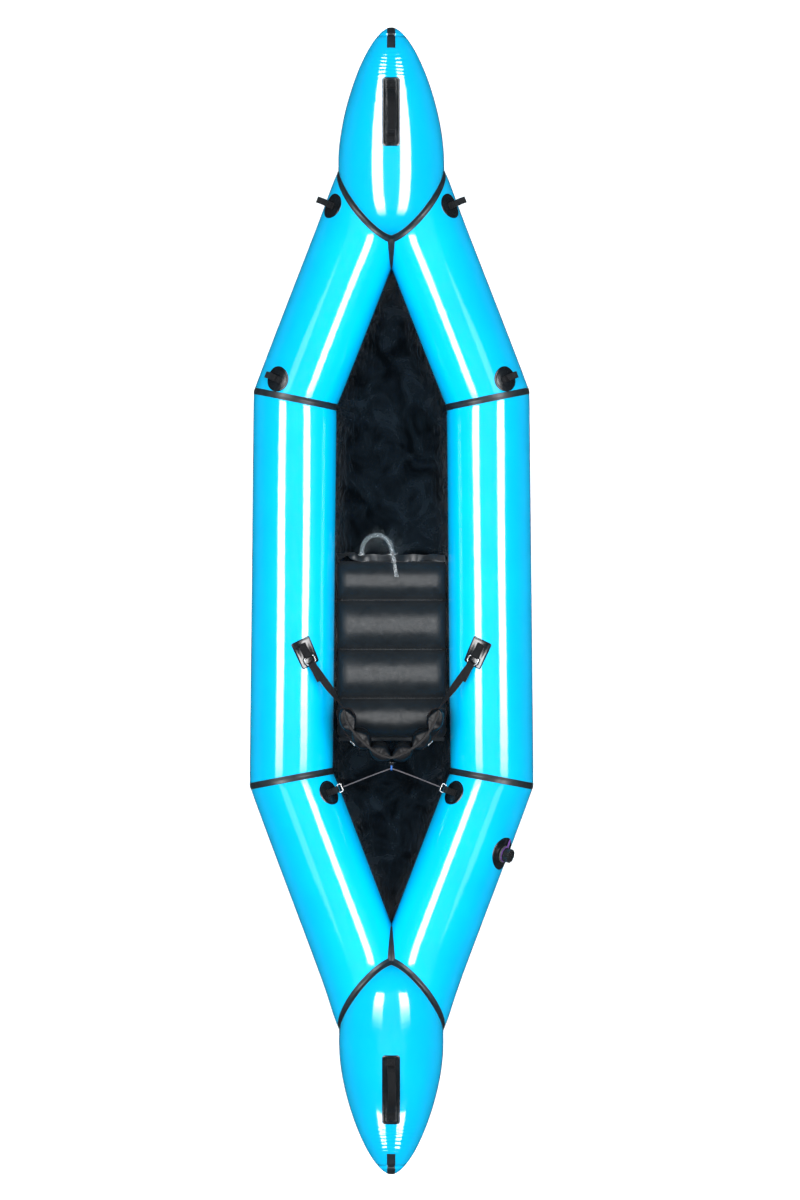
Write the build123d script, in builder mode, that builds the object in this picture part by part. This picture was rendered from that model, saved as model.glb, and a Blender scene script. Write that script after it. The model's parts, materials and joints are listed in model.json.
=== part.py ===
from build123d import *
import os
from dataclasses import dataclass
from math import atan2, cos, pi, radians, sin, tan

# Single-seat inflatable kayak: a welded tube hull with a folding backrest and an inflated seat.
# Row frame: millimetres, +X to the bow, +Y to port, +Z up, z = 0 on the underside of the floor.
# Each end of the hull is drawn in its own frame: u forward along the rising end, v across, w up.

# Hull
TUBE_R = 134.0  # inflated tube
WALL = 1.2  # coated fabric
FLOOR_T = 2.0
FLOOR_GAP = 1.2  # tubes stand this far above the floor sheet, which leaves room for the seam tapes
HULL_Z = FLOOR_T + FLOOR_GAP + TUBE_R  # height of the side tubes' axes
END_RISE = 12.0  # degrees that both ends sweep up
BOW_MITRE_X, BOW_HALF, BOW_CONVERGE = 648.5, 311.0, 770.0
STERN_MITRE_X, STERN_HALF, STERN_CONVERGE = 577.0, 323.5, 825.0
BOW_TIP_U, STERN_TIP_U = 1142.0, 1215.0
YOKE_NORMAL = (0.655, 0.667, 0.355)  # of the slanting seam between an end tube and its cone
CONE_AXIS_W = 6.0
CONE_L, CONE_TAIL_R = 642.0, 88.0
# Control points of the cone's profile, and the way that each moves as the cone grows by 1 mm
CONE_NOSE = [(0, 0), (0, 66), (230, 165), (430, 170)]
CONE_NOSE_GROWTH = [(-1, 0), (-1, 0.3), (-0.2, 1), (0, 1)]
CONE_TAIL = [(430, 170), (520, 172), (615, 162), (CONE_L, CONE_TAIL_R)]
CONE_TAIL_GROWTH = [(0, 1), (0, 1), (0.5, 0.9), (0.94, 0.33)]

# Tapes, patches and webbing, as heights above the fabric that they are welded to
LIFT = 0.3
TAPE_W, TAPE_T = 20.0, 0.7
PATCH_T = 1.5
TIE_PATCH_D = 80.0
WEB_T = 2.0
TIP_TAPE_W, TIP_TAPE_L = 26.0, 68.0

# Handles
HANDLE_PATCH_L, HANDLE_PATCH_W, HANDLE_PATCH_S = 205.0, 55.0, 260.0
HANDLE_W = 25.0
HANDLE_SEWN = 26.0  # length of each sewn end
HANDLE_FROM, HANDLE_TO = 178.0, 344.0  # distances from the tip
HANDLE_ARCH = 30.0
HANDLE_PIVOT_LIFT = 7.0  # pivot line over the sewn ends

# Tie-down loops
LOOP_H, LOOP_W, LOOP_T = 18.0, 20.0, 1.6
LOOP_PIVOT = 12.0  # height of the pivot over the fabric

# Backrest straps
STRAP_PATCH_X, STRAP_PATCH_ANGLE, STRAP_PATCH_TURN = -166.0, -21.5, 26.0
STRAP_PATCH_L, STRAP_PATCH_W = 90.0, 64.0
STRAP_W = 22.0
RING_L, RING_W, RING_WIRE = 24.0, 34.0, 2.0
EYE_IN, EYE_OUT = 2.6, 4.2  # folded webbing round the ring's wire

# Seat
SEAT_FRONT, SEAT_REAR = 145.0, -462.0
SEAT_SEAMS = (0.0, -162.0, -322.0)
SEAT_HALF, SEAT_BOTTOM, SEAT_SEAM_Z, SEAT_TOP = 182.0, 4.0, 74.0, 88.0

# Backrest
BACK_X, BACK_OUT_X, BACK_OUT_Y, BACK_T = -345.0, 176.0, 176.0, 54.0
BACK_BOTTOM, BACK_TOP = 100.0, 290.0
BACK_PIVOT = (-492.0, 100.0)
BINDING_T, BINDING_H = 8.0, 10.0

# Seat hose
HOSE_D = 16.0
HOSE_ROUTE = [
    (147, 98, 58),
    (168, 97, 60),
    (190, 90, 66),
    (206, 74, 75),
    (213, 52, 85),
    (208, 29, 92),
    (192, 10, 96),
    (171, 0, 98),
    (152, -3, 98),
]

# Bungee between links in the rear loops, over the cord loop on the backrest
HOOK_L, HOOK_W, HOOK_WIRE = 13.0, 26.0, 1.6
BUNGEE_D = 4.0
BUNGEE_TURN_X, BUNGEE_TURN_Z = -531.0, 268.0

# Main valve on the starboard stern tube
VALVE_U, VALVE_ANGLE = 216.0, 60.0
VALVE_PATCH_D, VALVE_HOLE_R = 105.0, 20.6
CAP_R, CAP_TRAVEL = 22.0, 6.0


@dataclass
class End:
    name: str
    heading: int  # +1 bow, -1 stern
    mitre_x: float
    half: float
    converge: float
    tip_u: float

    @property
    def frame(self):
        rise = radians(END_RISE)
        return Plane(
            origin=(self.heading * self.mitre_x, 0, HULL_Z),
            x_dir=(self.heading * cos(rise), 0, sin(rise)),
            z_dir=(-self.heading * sin(rise), 0, cos(rise)),
        )

    @property
    def yaw(self):
        return atan2(self.half, self.converge)

    def across(self, side):
        """Unit vector to port (side +1) or starboard (side -1)."""
        return Vector(0, side, 0)

    def at(self, u, y, w):
        """The row-frame point at u and w in the end's frame, and y in the row's."""
        return self.frame.origin + self.frame.x_dir * u + self.frame.z_dir * w + Vector(0, y, 0)

    def tube_dir(self, side):
        return self.frame.x_dir * cos(self.yaw) - self.across(side) * sin(self.yaw)

    def tube_out(self, side):
        return self.frame.x_dir * sin(self.yaw) + self.across(side) * cos(self.yaw)

    def tube_plane(self, side):
        """Across the tube at its mitre, with z_dir along the tube."""
        return Plane(self.at(0, side * self.half, 0), self.tube_out(side), self.tube_dir(side))

    def mitre(self, side):
        """The plane between the side tube and the end tube, facing the end."""
        along = side_dir(side) * self.heading
        return Plane(self.at(0, side * self.half, 0), z_dir=along + self.tube_dir(side))

    def yoke(self, side):
        """The slanting seam plane of one side, facing the cone."""
        u, v, w = YOKE_NORMAL
        normal = self.frame.x_dir * u - self.across(side) * v + self.frame.z_dir * w
        apex = self.at(self.tip_u - CONE_L, 0, CONE_AXIS_W + CONE_TAIL_R + 1)
        return Plane(apex, z_dir=normal)

    def on_tube(self, side, along, angle):
        """Tangent plane of the end tube, angle degrees from its crown towards the outside."""
        up, out = self.frame.z_dir, self.tube_out(side)
        normal = up * cos(radians(angle)) + out * sin(radians(angle))
        centre = self.tube_plane(side).origin + self.tube_dir(side) * along
        return Plane(centre + normal * TUBE_R, x_dir=self.tube_dir(side), z_dir=normal)


BOW = End("bow", 1, BOW_MITRE_X, BOW_HALF, BOW_CONVERGE, BOW_TIP_U)
STERN = End("stern", -1, STERN_MITRE_X, STERN_HALF, STERN_CONVERGE, STERN_TIP_U)
SIDES = {"port": 1, "starboard": -1}


def side_end(heading, side):
    """Centre of a side tube at its bow (+1) or stern (-1) mitre."""
    if heading > 0:
        return Vector(BOW_MITRE_X, side * BOW_HALF, HULL_Z)
    return Vector(-STERN_MITRE_X, side * STERN_HALF, HULL_Z)


def side_dir(side):
    """Unit vector along a side tube, towards the bow."""
    return (side_end(1, side) - side_end(-1, side)).normalized()


def side_plane(side):
    return Plane(side_end(-1, side), x_dir=(0, side, 0), z_dir=side_dir(side))


def on_side(side, x, angle):
    """Tangent plane of a side tube at x, angle degrees from its crown towards the outside."""
    start, along = side_end(-1, side), side_dir(side)
    centre = start + along * ((x - start.X) / along.X)
    normal = Vector(0, side * sin(radians(angle)), cos(radians(angle)))
    return Plane(centre + normal * TUBE_R, x_dir=along, z_dir=normal)


def tell(label, *vectors):
    """Prints positions in mm and directions, for the motion's numbers."""
    print(label, *[[round(c, 5) for c in vector] for vector in vectors])


def save(piece, label):
    piece.part.label = label
    export_step(piece.part, f"parts/{label}.step")
    return piece


def joined(pieces):
    with BuildPart() as whole:
        for piece in pieces:
            add(piece.part)
    return whole


def tube_skin(plane, start, end, lift, thick, keeps):
    """A round skin about plane's z axis, lift above the fabric, kept on one side of each cut."""
    with BuildPart() as skin:
        with BuildSketch(plane.offset(start)):
            Circle(TUBE_R + lift + thick)
            Circle(TUBE_R + lift, mode=Mode.SUBTRACT)
        extrude(amount=end - start)
        for cut, keep in keeps:
            split(bisect_by=cut, keep=keep)
    return skin


def grown(points, ways, grow):
    return [(x + dx * grow, y + dy * grow) for (x, y), (dx, dy) in zip(points, ways)]


def cone_solid(end, grow):
    """The end cone's full body of revolution, grown by that much."""
    tip = end.at(end.tip_u, 0, CONE_AXIS_W)
    plane = Plane(tip, x_dir=-end.frame.x_dir, z_dir=-end.heading * Vector(0, 1, 0))
    nose, tail = grown(CONE_NOSE, CONE_NOSE_GROWTH, grow), grown(CONE_TAIL, CONE_TAIL_GROWTH, grow)
    with BuildPart() as cone:
        with BuildSketch(plane):
            with BuildLine():
                Bezier(*nose)
                Bezier(*tail)
                Polyline(tail[-1], (tail[-1][0], 0), nose[0])
            make_face()
        revolve(axis=Axis(tip, end.frame.x_dir))
    return cone


def cone_skin(end, lift, thick, keeps):
    outside, inside = cone_solid(end, lift + thick), cone_solid(end, lift)
    with BuildPart() as skin:
        add(outside.part)
        add(inside.part, mode=Mode.SUBTRACT)
        for cut, keep in keeps:
            split(bisect_by=cut, keep=keep)
    return skin


def cone_radius(s):
    """Radius of the cone at distance s from its tip."""
    with BuildLine() as nose:
        Bezier(*CONE_NOSE)
    low, high = 0.0, 1.0
    while high - low > 1e-6:
        middle = (low + high) / 2
        low, high = (middle, high) if (nose.line @ middle).X < s else (low, middle)
    return (nose.line @ low).Y


def centre_plane(side):
    return Plane((0, 0, 0), z_dir=(0, side, 0))


# ---------------------------------------------------------------- hull


def make_side_tube(name, side):
    length = (side_end(1, side) - side_end(-1, side)).length
    cuts = [(BOW.mitre(side), Keep.BOTTOM), (STERN.mitre(side), Keep.BOTTOM)]
    save(tube_skin(side_plane(side), -60, length + 60, -WALL, WALL, cuts), f"{name}_side_tube")


def make_end_tube(end, name, side):
    cuts = [
        (end.mitre(side), Keep.TOP),
        (centre_plane(side), Keep.TOP),
        (end.yoke(side), Keep.BOTTOM),
    ]
    tube = tube_skin(end.tube_plane(side), -60, end.converge + 80, -WALL, WALL, cuts)
    if end is STERN and name == "starboard":
        with BuildPart() as holed:
            add(tube.part)
            with BuildSketch(VALVE_SEAT.offset(-40)):
                Circle(VALVE_HOLE_R)
            extrude(amount=80, mode=Mode.SUBTRACT)
        tube = holed
    save(tube, f"{end.name}_{name}_tube")


def make_cone(end):
    cuts = [(end.yoke(1), Keep.TOP), (end.yoke(-1), Keep.TOP)]
    save(cone_skin(end, -WALL, WALL, cuts), f"{end.name}_cone")


def make_floor():
    """One sheet under the tubes, flat amidships and rising with both ends."""
    rise, reach = radians(END_RISE), 540.0
    drop = TUBE_R + FLOOR_GAP + FLOOR_T
    edge = 30.0  # past the tubes' lowest lines

    def profile(end, depth):
        knee = end.heading * (end.mitre_x + depth * tan(rise / 2))
        tip = end.at(reach, 0, -depth)
        return (knee, HULL_Z - depth), (tip.X, tip.Z)

    low_bow, low_bow_tip = profile(BOW, drop)
    low_stern, low_stern_tip = profile(STERN, drop)
    top_bow, top_bow_tip = profile(BOW, drop - FLOOR_T)
    top_stern, top_stern_tip = profile(STERN, drop - FLOOR_T)
    bow_x, stern_x = low_bow_tip[0], low_stern_tip[0]
    bow_half = BOW_HALF * (1 - reach / BOW_CONVERGE) + edge
    stern_half = STERN_HALF * (1 - reach / STERN_CONVERGE) + edge
    outline = [
        (stern_x, stern_half),
        (-STERN_MITRE_X, STERN_HALF + edge),
        (BOW_MITRE_X, BOW_HALF + edge),
        (bow_x, bow_half),
        (bow_x, -bow_half),
        (BOW_MITRE_X, -BOW_HALF - edge),
        (-STERN_MITRE_X, -STERN_HALF - edge),
        (stern_x, -stern_half),
    ]
    with BuildPart() as floor:
        with BuildSketch(Plane.XZ):
            with BuildLine():
                Polyline(
                    low_stern_tip, low_stern, low_bow, low_bow_tip,
                    top_bow_tip, top_bow, top_stern, top_stern_tip,
                    close=True,
                )
            make_face()
        extrude(amount=400, both=True)
        with BuildSketch(Plane.XY.offset(-10)):
            with BuildLine():
                Polyline(*outline, close=True)
            make_face()
        extrude(amount=300, mode=Mode.INTERSECT)
    save(floor, "floor_sheet")


# ---------------------------------------------------------------- seam tapes


def make_mitre_tape(end, name, side):
    cut = end.mitre(side)
    length = (side_end(1, side) - side_end(-1, side)).length
    along_side = tube_skin(
        side_plane(side), -80, length + 80, LIFT, TAPE_T,
        [(cut, Keep.BOTTOM), (cut.offset(-TAPE_W / 2), Keep.TOP)],
    )
    along_end = tube_skin(
        end.tube_plane(side), -80, 120, LIFT, TAPE_T,
        [(cut, Keep.TOP), (cut.offset(TAPE_W / 2), Keep.BOTTOM)],
    )
    save(joined([along_side, along_end]), f"{name}_{end.name}_seam_tape")


def make_yoke_tape(end):
    """Tape along the slanting seams of both sides, on the tubes beside the cone."""
    halves = []
    for side in SIDES.values():
        seam = end.yoke(side)
        cuts = [
            (centre_plane(side), Keep.TOP),
            (seam, Keep.BOTTOM),
            (seam.offset(-TAPE_W), Keep.TOP),
        ]
        halves.append(tube_skin(end.tube_plane(side), 200, end.converge + 80, LIFT, TAPE_T, cuts))
    save(joined(halves), f"{end.name}_yoke_tape")


def make_tip_tapes():
    """A short tape over the crease at each tip."""
    tapes = []
    for end in (BOW, STERN):
        middle = end.at(end.tip_u, 0, 0)
        cuts = [
            (Plane(middle + Vector(0, TIP_TAPE_W / 2, 0), z_dir=(0, 1, 0)), Keep.BOTTOM),
            (Plane(middle - Vector(0, TIP_TAPE_W / 2, 0), z_dir=(0, 1, 0)), Keep.TOP),
            (Plane(end.at(end.tip_u - TIP_TAPE_L, 0, 0), z_dir=end.frame.x_dir), Keep.TOP),
        ]
        tapes.append(cone_skin(end, LIFT, TAPE_T, cuts))
    save(joined(tapes), "tip_tapes")


# ---------------------------------------------------------------- carrying handles


def top_of_cone(end, s, lift):
    """The point over the cone's top line at distance s from its tip."""
    return end.at(end.tip_u - s, 0, CONE_AXIS_W + cone_radius(s) + lift)


def over_cone(end, s):
    """A plane inside the cone at distance s from its tip, facing up through its top line."""
    return Plane(end.at(end.tip_u - s, 0, 60), x_dir=end.frame.x_dir, z_dir=end.frame.z_dir)


def make_handle_patch(end):
    fabric = cone_skin(end, LIFT, PATCH_T, [])
    with BuildPart() as patch:
        add(fabric.part)
        with BuildSketch(over_cone(end, HANDLE_PATCH_S)):
            RectangleRounded(HANDLE_PATCH_L, HANDLE_PATCH_W, 9)
        extrude(amount=200, mode=Mode.INTERSECT)
    save(patch, f"{end.name}_handle_patch")


def make_handle_ends():
    """The sewn-down ends of both handles' webbing."""
    reach = (HANDLE_TO - HANDLE_FROM - HANDLE_SEWN) / 2
    ends = []
    for end in (BOW, STERN):
        webbing = cone_skin(end, 2 * LIFT + PATCH_T, WEB_T, [])
        with BuildPart() as sewn:
            add(webbing.part)
            with BuildSketch(over_cone(end, (HANDLE_FROM + HANDLE_TO) / 2)):
                with Locations((-reach, 0), (reach, 0)):
                    Rectangle(HANDLE_SEWN, HANDLE_W)
            extrude(amount=200, mode=Mode.INTERSECT)
        ends.append(sewn)
    save(joined(ends), "handle_ends")


def make_handle(end):
    """The loose middle of the webbing, arched over the patch and narrowed to its pivots."""
    lift = 2 * LIFT + PATCH_T + WEB_T + HANDLE_PIVOT_LIFT
    near = top_of_cone(end, HANDLE_FROM + HANDLE_SEWN / 2, lift)
    far = top_of_cone(end, HANDLE_TO - HANDLE_SEWN / 2, lift)
    chord = near - far
    arch_plane = Plane(far, x_dir=chord, z_dir=Vector(0, -end.heading, 0))
    span = chord.length
    arch_r = (span**2 / 4 + HANDLE_ARCH**2) / (2 * HANDLE_ARCH)
    with BuildPart() as grip:
        with BuildSketch(arch_plane):
            with Locations((span / 2, HANDLE_ARCH - arch_r)):
                Circle(arch_r + WEB_T / 2)
                Circle(arch_r - WEB_T / 2, mode=Mode.SUBTRACT)
            with Locations((span / 2, HANDLE_ARCH)):
                Rectangle(span, 2 * HANDLE_ARCH, mode=Mode.INTERSECT)
        extrude(amount=HANDLE_W / 2, both=True)
        top = Plane(far, x_dir=chord, z_dir=chord.cross(Vector(0, end.heading, 0)))
        wide, slim, taper = HANDLE_W / 2, HANDLE_W / 6, HANDLE_W / 2
        with BuildSketch(top.offset(-20)):
            with BuildLine():
                Polyline(
                    (-3, -slim), (taper, -wide), (span - taper, -wide), (span + 3, -slim),
                    (span + 3, slim), (span - taper, wide), (taper, wide), (-3, slim),
                    close=True,
                )
            make_face()
        extrude(amount=120, mode=Mode.INTERSECT)
    save(grip, f"{end.name}_handle")
    tell(f"{end.name}_handle pivot", far, chord.normalized())


# ---------------------------------------------------------------- tie-down patches and loops


def make_tie_patch(name, seat, tube):
    with BuildPart() as patch:
        add(tube.part)
        with BuildSketch(seat.offset(-40)):
            Circle(TIE_PATCH_D / 2)
        extrude(amount=60, mode=Mode.INTERSECT)
    save(patch, f"{name}_patch")


def make_loop(name, seat, lean, length):
    """A webbing loop on a patch; lean is its angle from the patch's normal about the tube's line."""
    pivot = seat.origin + seat.z_dir * LOOP_PIVOT
    out = seat.z_dir.rotate(Axis((0, 0, 0), seat.x_dir), lean)
    plane = Plane(pivot, x_dir=out, z_dir=seat.x_dir)
    with BuildPart() as loop:
        with BuildSketch(plane):
            with Locations((length / 2, 0)):
                SlotOverall(length, LOOP_H)
                SlotOverall(length - 2 * LOOP_T, LOOP_H - 2 * LOOP_T, mode=Mode.SUBTRACT)
        extrude(amount=LOOP_W / 2, both=True)
    save(loop, f"{name}_loop")
    tell(f"{name}_loop pivot, axis, eye centre", pivot, seat.x_dir, pivot + out * (length / 2))
    return pivot + out * (length - LOOP_T)


# ---------------------------------------------------------------- backrest straps


def wire_ring(plane, length, width, wire, corner):
    """A closed wire ring from plane's origin along its x axis."""
    with BuildPart() as ring:
        with BuildLine(plane):
            oval = Polyline(
                (0, -width / 2), (length, -width / 2), (length, width / 2), (0, width / 2), close=True
            )
            fillet(oval.vertices(), corner)
        with BuildSketch(Plane(plane.origin, x_dir=plane.z_dir, z_dir=plane.y_dir)):
            Circle(wire)
        sweep()
    return ring


def make_strap_anchor(name, side):
    seat = on_side(side, STRAP_PATCH_X, STRAP_PATCH_ANGLE)
    turned = Plane(
        seat.origin, x_dir=(-seat.x_dir).rotate(Axis((0, 0, 0), seat.z_dir), side * STRAP_PATCH_TURN),
        z_dir=seat.z_dir,
    )
    length = (side_end(1, side) - side_end(-1, side)).length
    with BuildPart() as patch:
        add(tube_skin(side_plane(side), 0, length, LIFT, PATCH_T, []).part)
        with BuildSketch(turned.offset(-30)):
            RectangleRounded(STRAP_PATCH_L, STRAP_PATCH_W, 6)
        extrude(amount=50, mode=Mode.INTERSECT)
    save(patch, f"{name}_strap_patch")

    eye_x, eye_z = 14.0, 2 * LIFT + PATCH_T + EYE_OUT + 0.6
    eye = turned.origin + turned.x_dir * eye_x + turned.z_dir * eye_z
    side_view = Plane(eye, x_dir=turned.x_dir, z_dir=turned.y_dir)
    with BuildPart() as webbing:
        with BuildSketch(side_view):
            Circle(EYE_OUT)
            with BuildLine():
                Polyline((0, -1.2), (0, 1.2), (-44, 0.6 - EYE_OUT + WEB_T), (-44, 0.6 - EYE_OUT), close=True)
            make_face()
            Circle(EYE_IN, mode=Mode.SUBTRACT)
        extrude(amount=STRAP_W / 2, both=True)
    save(webbing, f"{name}_strap_webbing")

    # the ring stands out from the eye towards the backrest, lifted clear of the patch
    tip = Vector(BACK_X + 2.5, side * (BACK_OUT_Y - BACK_T / 2), BACK_TOP - 34)
    pull = tip - eye
    forward = (pull - turned.y_dir * pull.dot(turned.y_dir)).normalized()
    lie = Plane(eye, x_dir=forward, z_dir=forward.cross(turned.y_dir))
    save(wire_ring(lie, RING_L, RING_W, RING_WIRE, 8), f"{name}_strap_ring")
    tell(f"{name}_strap_ring pivot, axis", eye, turned.y_dir)

    start = lie.origin + lie.x_dir * (RING_L + RING_WIRE + 2.4)
    run = tip - start
    flat = Plane(start, x_dir=lie.y_dir - run * (lie.y_dir.dot(run) / run.dot(run)), z_dir=run)
    upright = Vector(0, 0, 1) - run * (run.Z / run.dot(run))
    with BuildPart() as strap:
        with BuildSketch(flat):
            Rectangle(STRAP_W - 2, WEB_T)
        with BuildSketch(Plane(tip, x_dir=upright, z_dir=run)):
            Rectangle(STRAP_W - 2, WEB_T)
        loft()
    save(strap, f"{name}_backrest_strap")
    tell(f"{name} strap from, to", start, tip)


# ---------------------------------------------------------------- backrest


def back_band(grow_in, grow_out, low, high):
    """The bowed band of the backrest between two heights, as a part open to the bow."""
    with BuildPart() as band:
        with BuildSketch(Plane.XY.offset(low)):
            with Locations((BACK_X, 0)):
                Ellipse(BACK_OUT_X + grow_out, BACK_OUT_Y + grow_out)
                Ellipse(BACK_OUT_X - BACK_T - grow_in, BACK_OUT_Y - BACK_T - grow_in, mode=Mode.SUBTRACT)
            with Locations((BACK_X + 200, 0)):
                Rectangle(400, 500, mode=Mode.SUBTRACT)
        extrude(amount=high - low)
    return band


def make_backrest():
    with BuildPart() as cushion:
        add(back_band(0, 0, BACK_BOTTOM, BACK_TOP).part)
        # the wings' lower edge climbs forward, which leaves room for the fold
        with BuildSketch(Plane.XZ):
            with BuildLine():
                Polyline((-470, 90), (-470, BACK_BOTTOM), (BACK_X + 5, 192), (BACK_X + 5, 90), close=True)
            make_face()
        extrude(amount=220, both=True, mode=Mode.SUBTRACT)
        fillet(cushion.faces().sort_by(Axis.Z)[-1].edges(), 9)
    save(cushion, "backrest_cushion")

    inset = (BACK_T - BINDING_T) / 2
    with BuildPart() as binding:
        add(back_band(-inset, -inset, BACK_TOP + 0.1, BACK_TOP + BINDING_H).part)
    save(binding, "backrest_binding")

    # strap adjusters on the outside of both wings
    with BuildPart() as buckles:
        for side in SIDES.values():
            angle = radians(38)
            x = BACK_X - BACK_OUT_X * sin(angle)
            y = side * BACK_OUT_Y * cos(angle)
            normal = Vector(-sin(angle) / BACK_OUT_X, side * cos(angle) / BACK_OUT_Y, 0).normalized()
            face = Plane(Vector(x, y, BACK_TOP - 30) + normal * 0.4, x_dir=(0, 0, 1), z_dir=normal)
            with BuildSketch(face):
                RectangleRounded(30, 20, 3)
                with Locations((0, 4.5), (0, -4.5)):
                    Rectangle(23, 4, mode=Mode.SUBTRACT)
            extrude(amount=2.5)
    save(buckles, "strap_buckles")

    # the cushion's own twist valve, low on its back
    valve_seat = Plane((BACK_X - BACK_OUT_X - 0.3, 0, 150), x_dir=(0, 1, 0), z_dir=(-1, 0, 0))
    with BuildPart() as base:
        with BuildSketch(valve_seat):
            Circle(13)
        extrude(amount=3)
        with BuildSketch(valve_seat.offset(3)):
            Circle(5.0)
        extrude(amount=8)
    save(base, "backrest_valve")
    with BuildPart() as nozzle:
        with BuildSketch(valve_seat.offset(3.3)):
            RegularPolygon(9.0, 6)
            Circle(5.3, mode=Mode.SUBTRACT)
        extrude(amount=9)
        with BuildSketch(valve_seat.offset(12.3)):
            Circle(8.0)
            Circle(2.5, mode=Mode.SUBTRACT)
        extrude(amount=3)
    save(nozzle, "backrest_valve_cap")


# ---------------------------------------------------------------- seat and its hose


def make_seat():
    """A pad of four chambers side by side, welded flat along the seams between them."""
    marks = [SEAT_FRONT - 8, *SEAT_SEAMS, SEAT_REAR + 14]
    with BuildPart() as seat:
        with BuildSketch(Plane.XZ):
            with BuildLine():
                for a, b in zip(marks, marks[1:]):
                    ThreePointArc((a, SEAT_SEAM_Z), ((a + b) / 2, SEAT_TOP), (b, SEAT_SEAM_Z))
                middle = (SEAT_BOTTOM + SEAT_SEAM_Z) / 2
                ThreePointArc((marks[-1], SEAT_SEAM_Z), (SEAT_REAR, middle), (marks[-1], SEAT_BOTTOM))
                Line((marks[-1], SEAT_BOTTOM), (marks[0], SEAT_BOTTOM))
                ThreePointArc((marks[0], SEAT_BOTTOM), (SEAT_FRONT, middle), (marks[0], SEAT_SEAM_Z))
            make_face()
        extrude(amount=SEAT_HALF, both=True)
        with BuildSketch(Plane.YZ.offset(SEAT_REAR - 10)):
            with Locations((0, (SEAT_BOTTOM + SEAT_TOP) / 2)):
                RectangleRounded(2 * SEAT_HALF, SEAT_TOP - SEAT_BOTTOM + 0.2, 36)
        extrude(amount=SEAT_FRONT - SEAT_REAR + 20, mode=Mode.INTERSECT)
    save(seat, "seat_cushion")


def turn_radii(route):
    """The largest arc at each corner that uses at most 0.45 of its shorter run."""
    points = [Vector(*p) for p in route]
    radii = []
    for a, b, c in zip(points, points[1:], points[2:]):
        turn = (b - a).get_angle(c - b)
        radii.append(0.45 * min((b - a).length, (c - b).length) / tan(radians(turn / 2)))
    return radii


def make_cord(name, route, diameter, radii):
    start, towards = Vector(*route[0]), Vector(*route[1]) - Vector(*route[0])
    with BuildPart() as cord:
        with BuildLine() as path:
            FilletPolyline(*route, radius=radii)
        with BuildSketch(Plane(start, z_dir=towards)):
            Circle(diameter / 2)
        sweep()
    save(cord, name)
    length = sum(edge.length for edge in path.line.edges())
    share = cord.part.volume / (pi * diameter**2 / 4 * length)
    print(name, "length", round(length, 1), "radii", [round(r, 1) for r in radii])
    print("   volume over section times length", round(share, 4))


def make_hose():
    make_cord("seat_hose", HOSE_ROUTE, HOSE_D, turn_radii(HOSE_ROUTE))
    first, last = HOSE_ROUTE[0], HOSE_ROUTE[-1]
    out = (Vector(*HOSE_ROUTE[1]) - Vector(*first)).normalized()
    with BuildPart() as inlet:
        with BuildSketch(Plane(Vector(*first) - out * 1.2, z_dir=out)):
            Circle(15)
        extrude(amount=1.2)
        with BuildSketch(Plane(Vector(*first), z_dir=out)):
            Circle(11)
            Circle(HOSE_D / 2 + 0.1, mode=Mode.SUBTRACT)
        extrude(amount=10)
    save(inlet, "hose_inlet")
    back = (Vector(*last) - Vector(*HOSE_ROUTE[-2])).normalized()
    socket = Plane(Vector(*last), z_dir=back)
    with BuildPart() as holder:
        with BuildSketch(socket):
            Circle(14.5)
        extrude(amount=4)
        with BuildSketch(socket.offset(4)):
            Circle(7.0)
        extrude(amount=26)
        with BuildSketch(socket.offset(8)):
            Circle(4.2)
        extrude(amount=30, mode=Mode.SUBTRACT)
    save(holder, "mouthpiece_holder")
    with BuildPart() as mouthpiece:
        with BuildSketch(socket.offset(12)):
            Circle(4.1)
        extrude(amount=62)
        with BuildSketch(socket.offset(36)):
            Circle(5.0)
        extrude(amount=38)
        with BuildSketch(socket.offset(74)):
            Circle(8.0)
        extrude(amount=4)
        with BuildSketch(socket.offset(12)):
            Circle(2.5)
        extrude(amount=66, mode=Mode.SUBTRACT)
    save(mouthpiece, "mouthpiece")
    tell("mouthpiece slides along", back)


# ---------------------------------------------------------------- bungee


def make_bungee(ends):
    """A taut cord from the port hook over the backrest's cord loop to the starboard hook."""
    port, starboard = ends
    turn = Vector(BUNGEE_TURN_X, 0, BUNGEE_TURN_Z)
    route = [
        tuple(port), tuple(turn + Vector(0, 9, 0)), tuple(turn - Vector(0, 9, 0)), tuple(starboard),
    ]
    make_cord("bungee_cord", route, BUNGEE_D, [12, 12])
    with BuildPart() as loop:
        with BuildSketch(Plane(turn + Vector(4.2, 0, 0), x_dir=(1, 0, 0), z_dir=(0, 1, 0))):
            SlotOverall(19, 11)
            SlotOverall(14, 6, mode=Mode.SUBTRACT)
        extrude(amount=2.5, both=True)
        split(bisect_by=Plane((BACK_X - BACK_OUT_X - 0.4, 0, 0), z_dir=(-1, 0, 0)), keep=Keep.TOP)
    save(loop, "backrest_cord_loop")


def make_hook(name, loop_end, width_dir, towards):
    """A wire link through the webbing loop's eye, where the bungee ends."""
    inside = loop_end - (loop_end - towards).normalized() * -(HOOK_WIRE + 0.5)
    along = towards - inside
    along = (along - width_dir * along.dot(width_dir)).normalized()
    lie = Plane(inside, x_dir=along, z_dir=along.cross(width_dir))
    save(wire_ring(lie, HOOK_L, HOOK_W, HOOK_WIRE, 4), f"{name}_bungee_hook")
    return inside + along * (HOOK_L + HOOK_WIRE + BUNGEE_D / 2 + 0.6)


# ---------------------------------------------------------------- main valve


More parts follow.
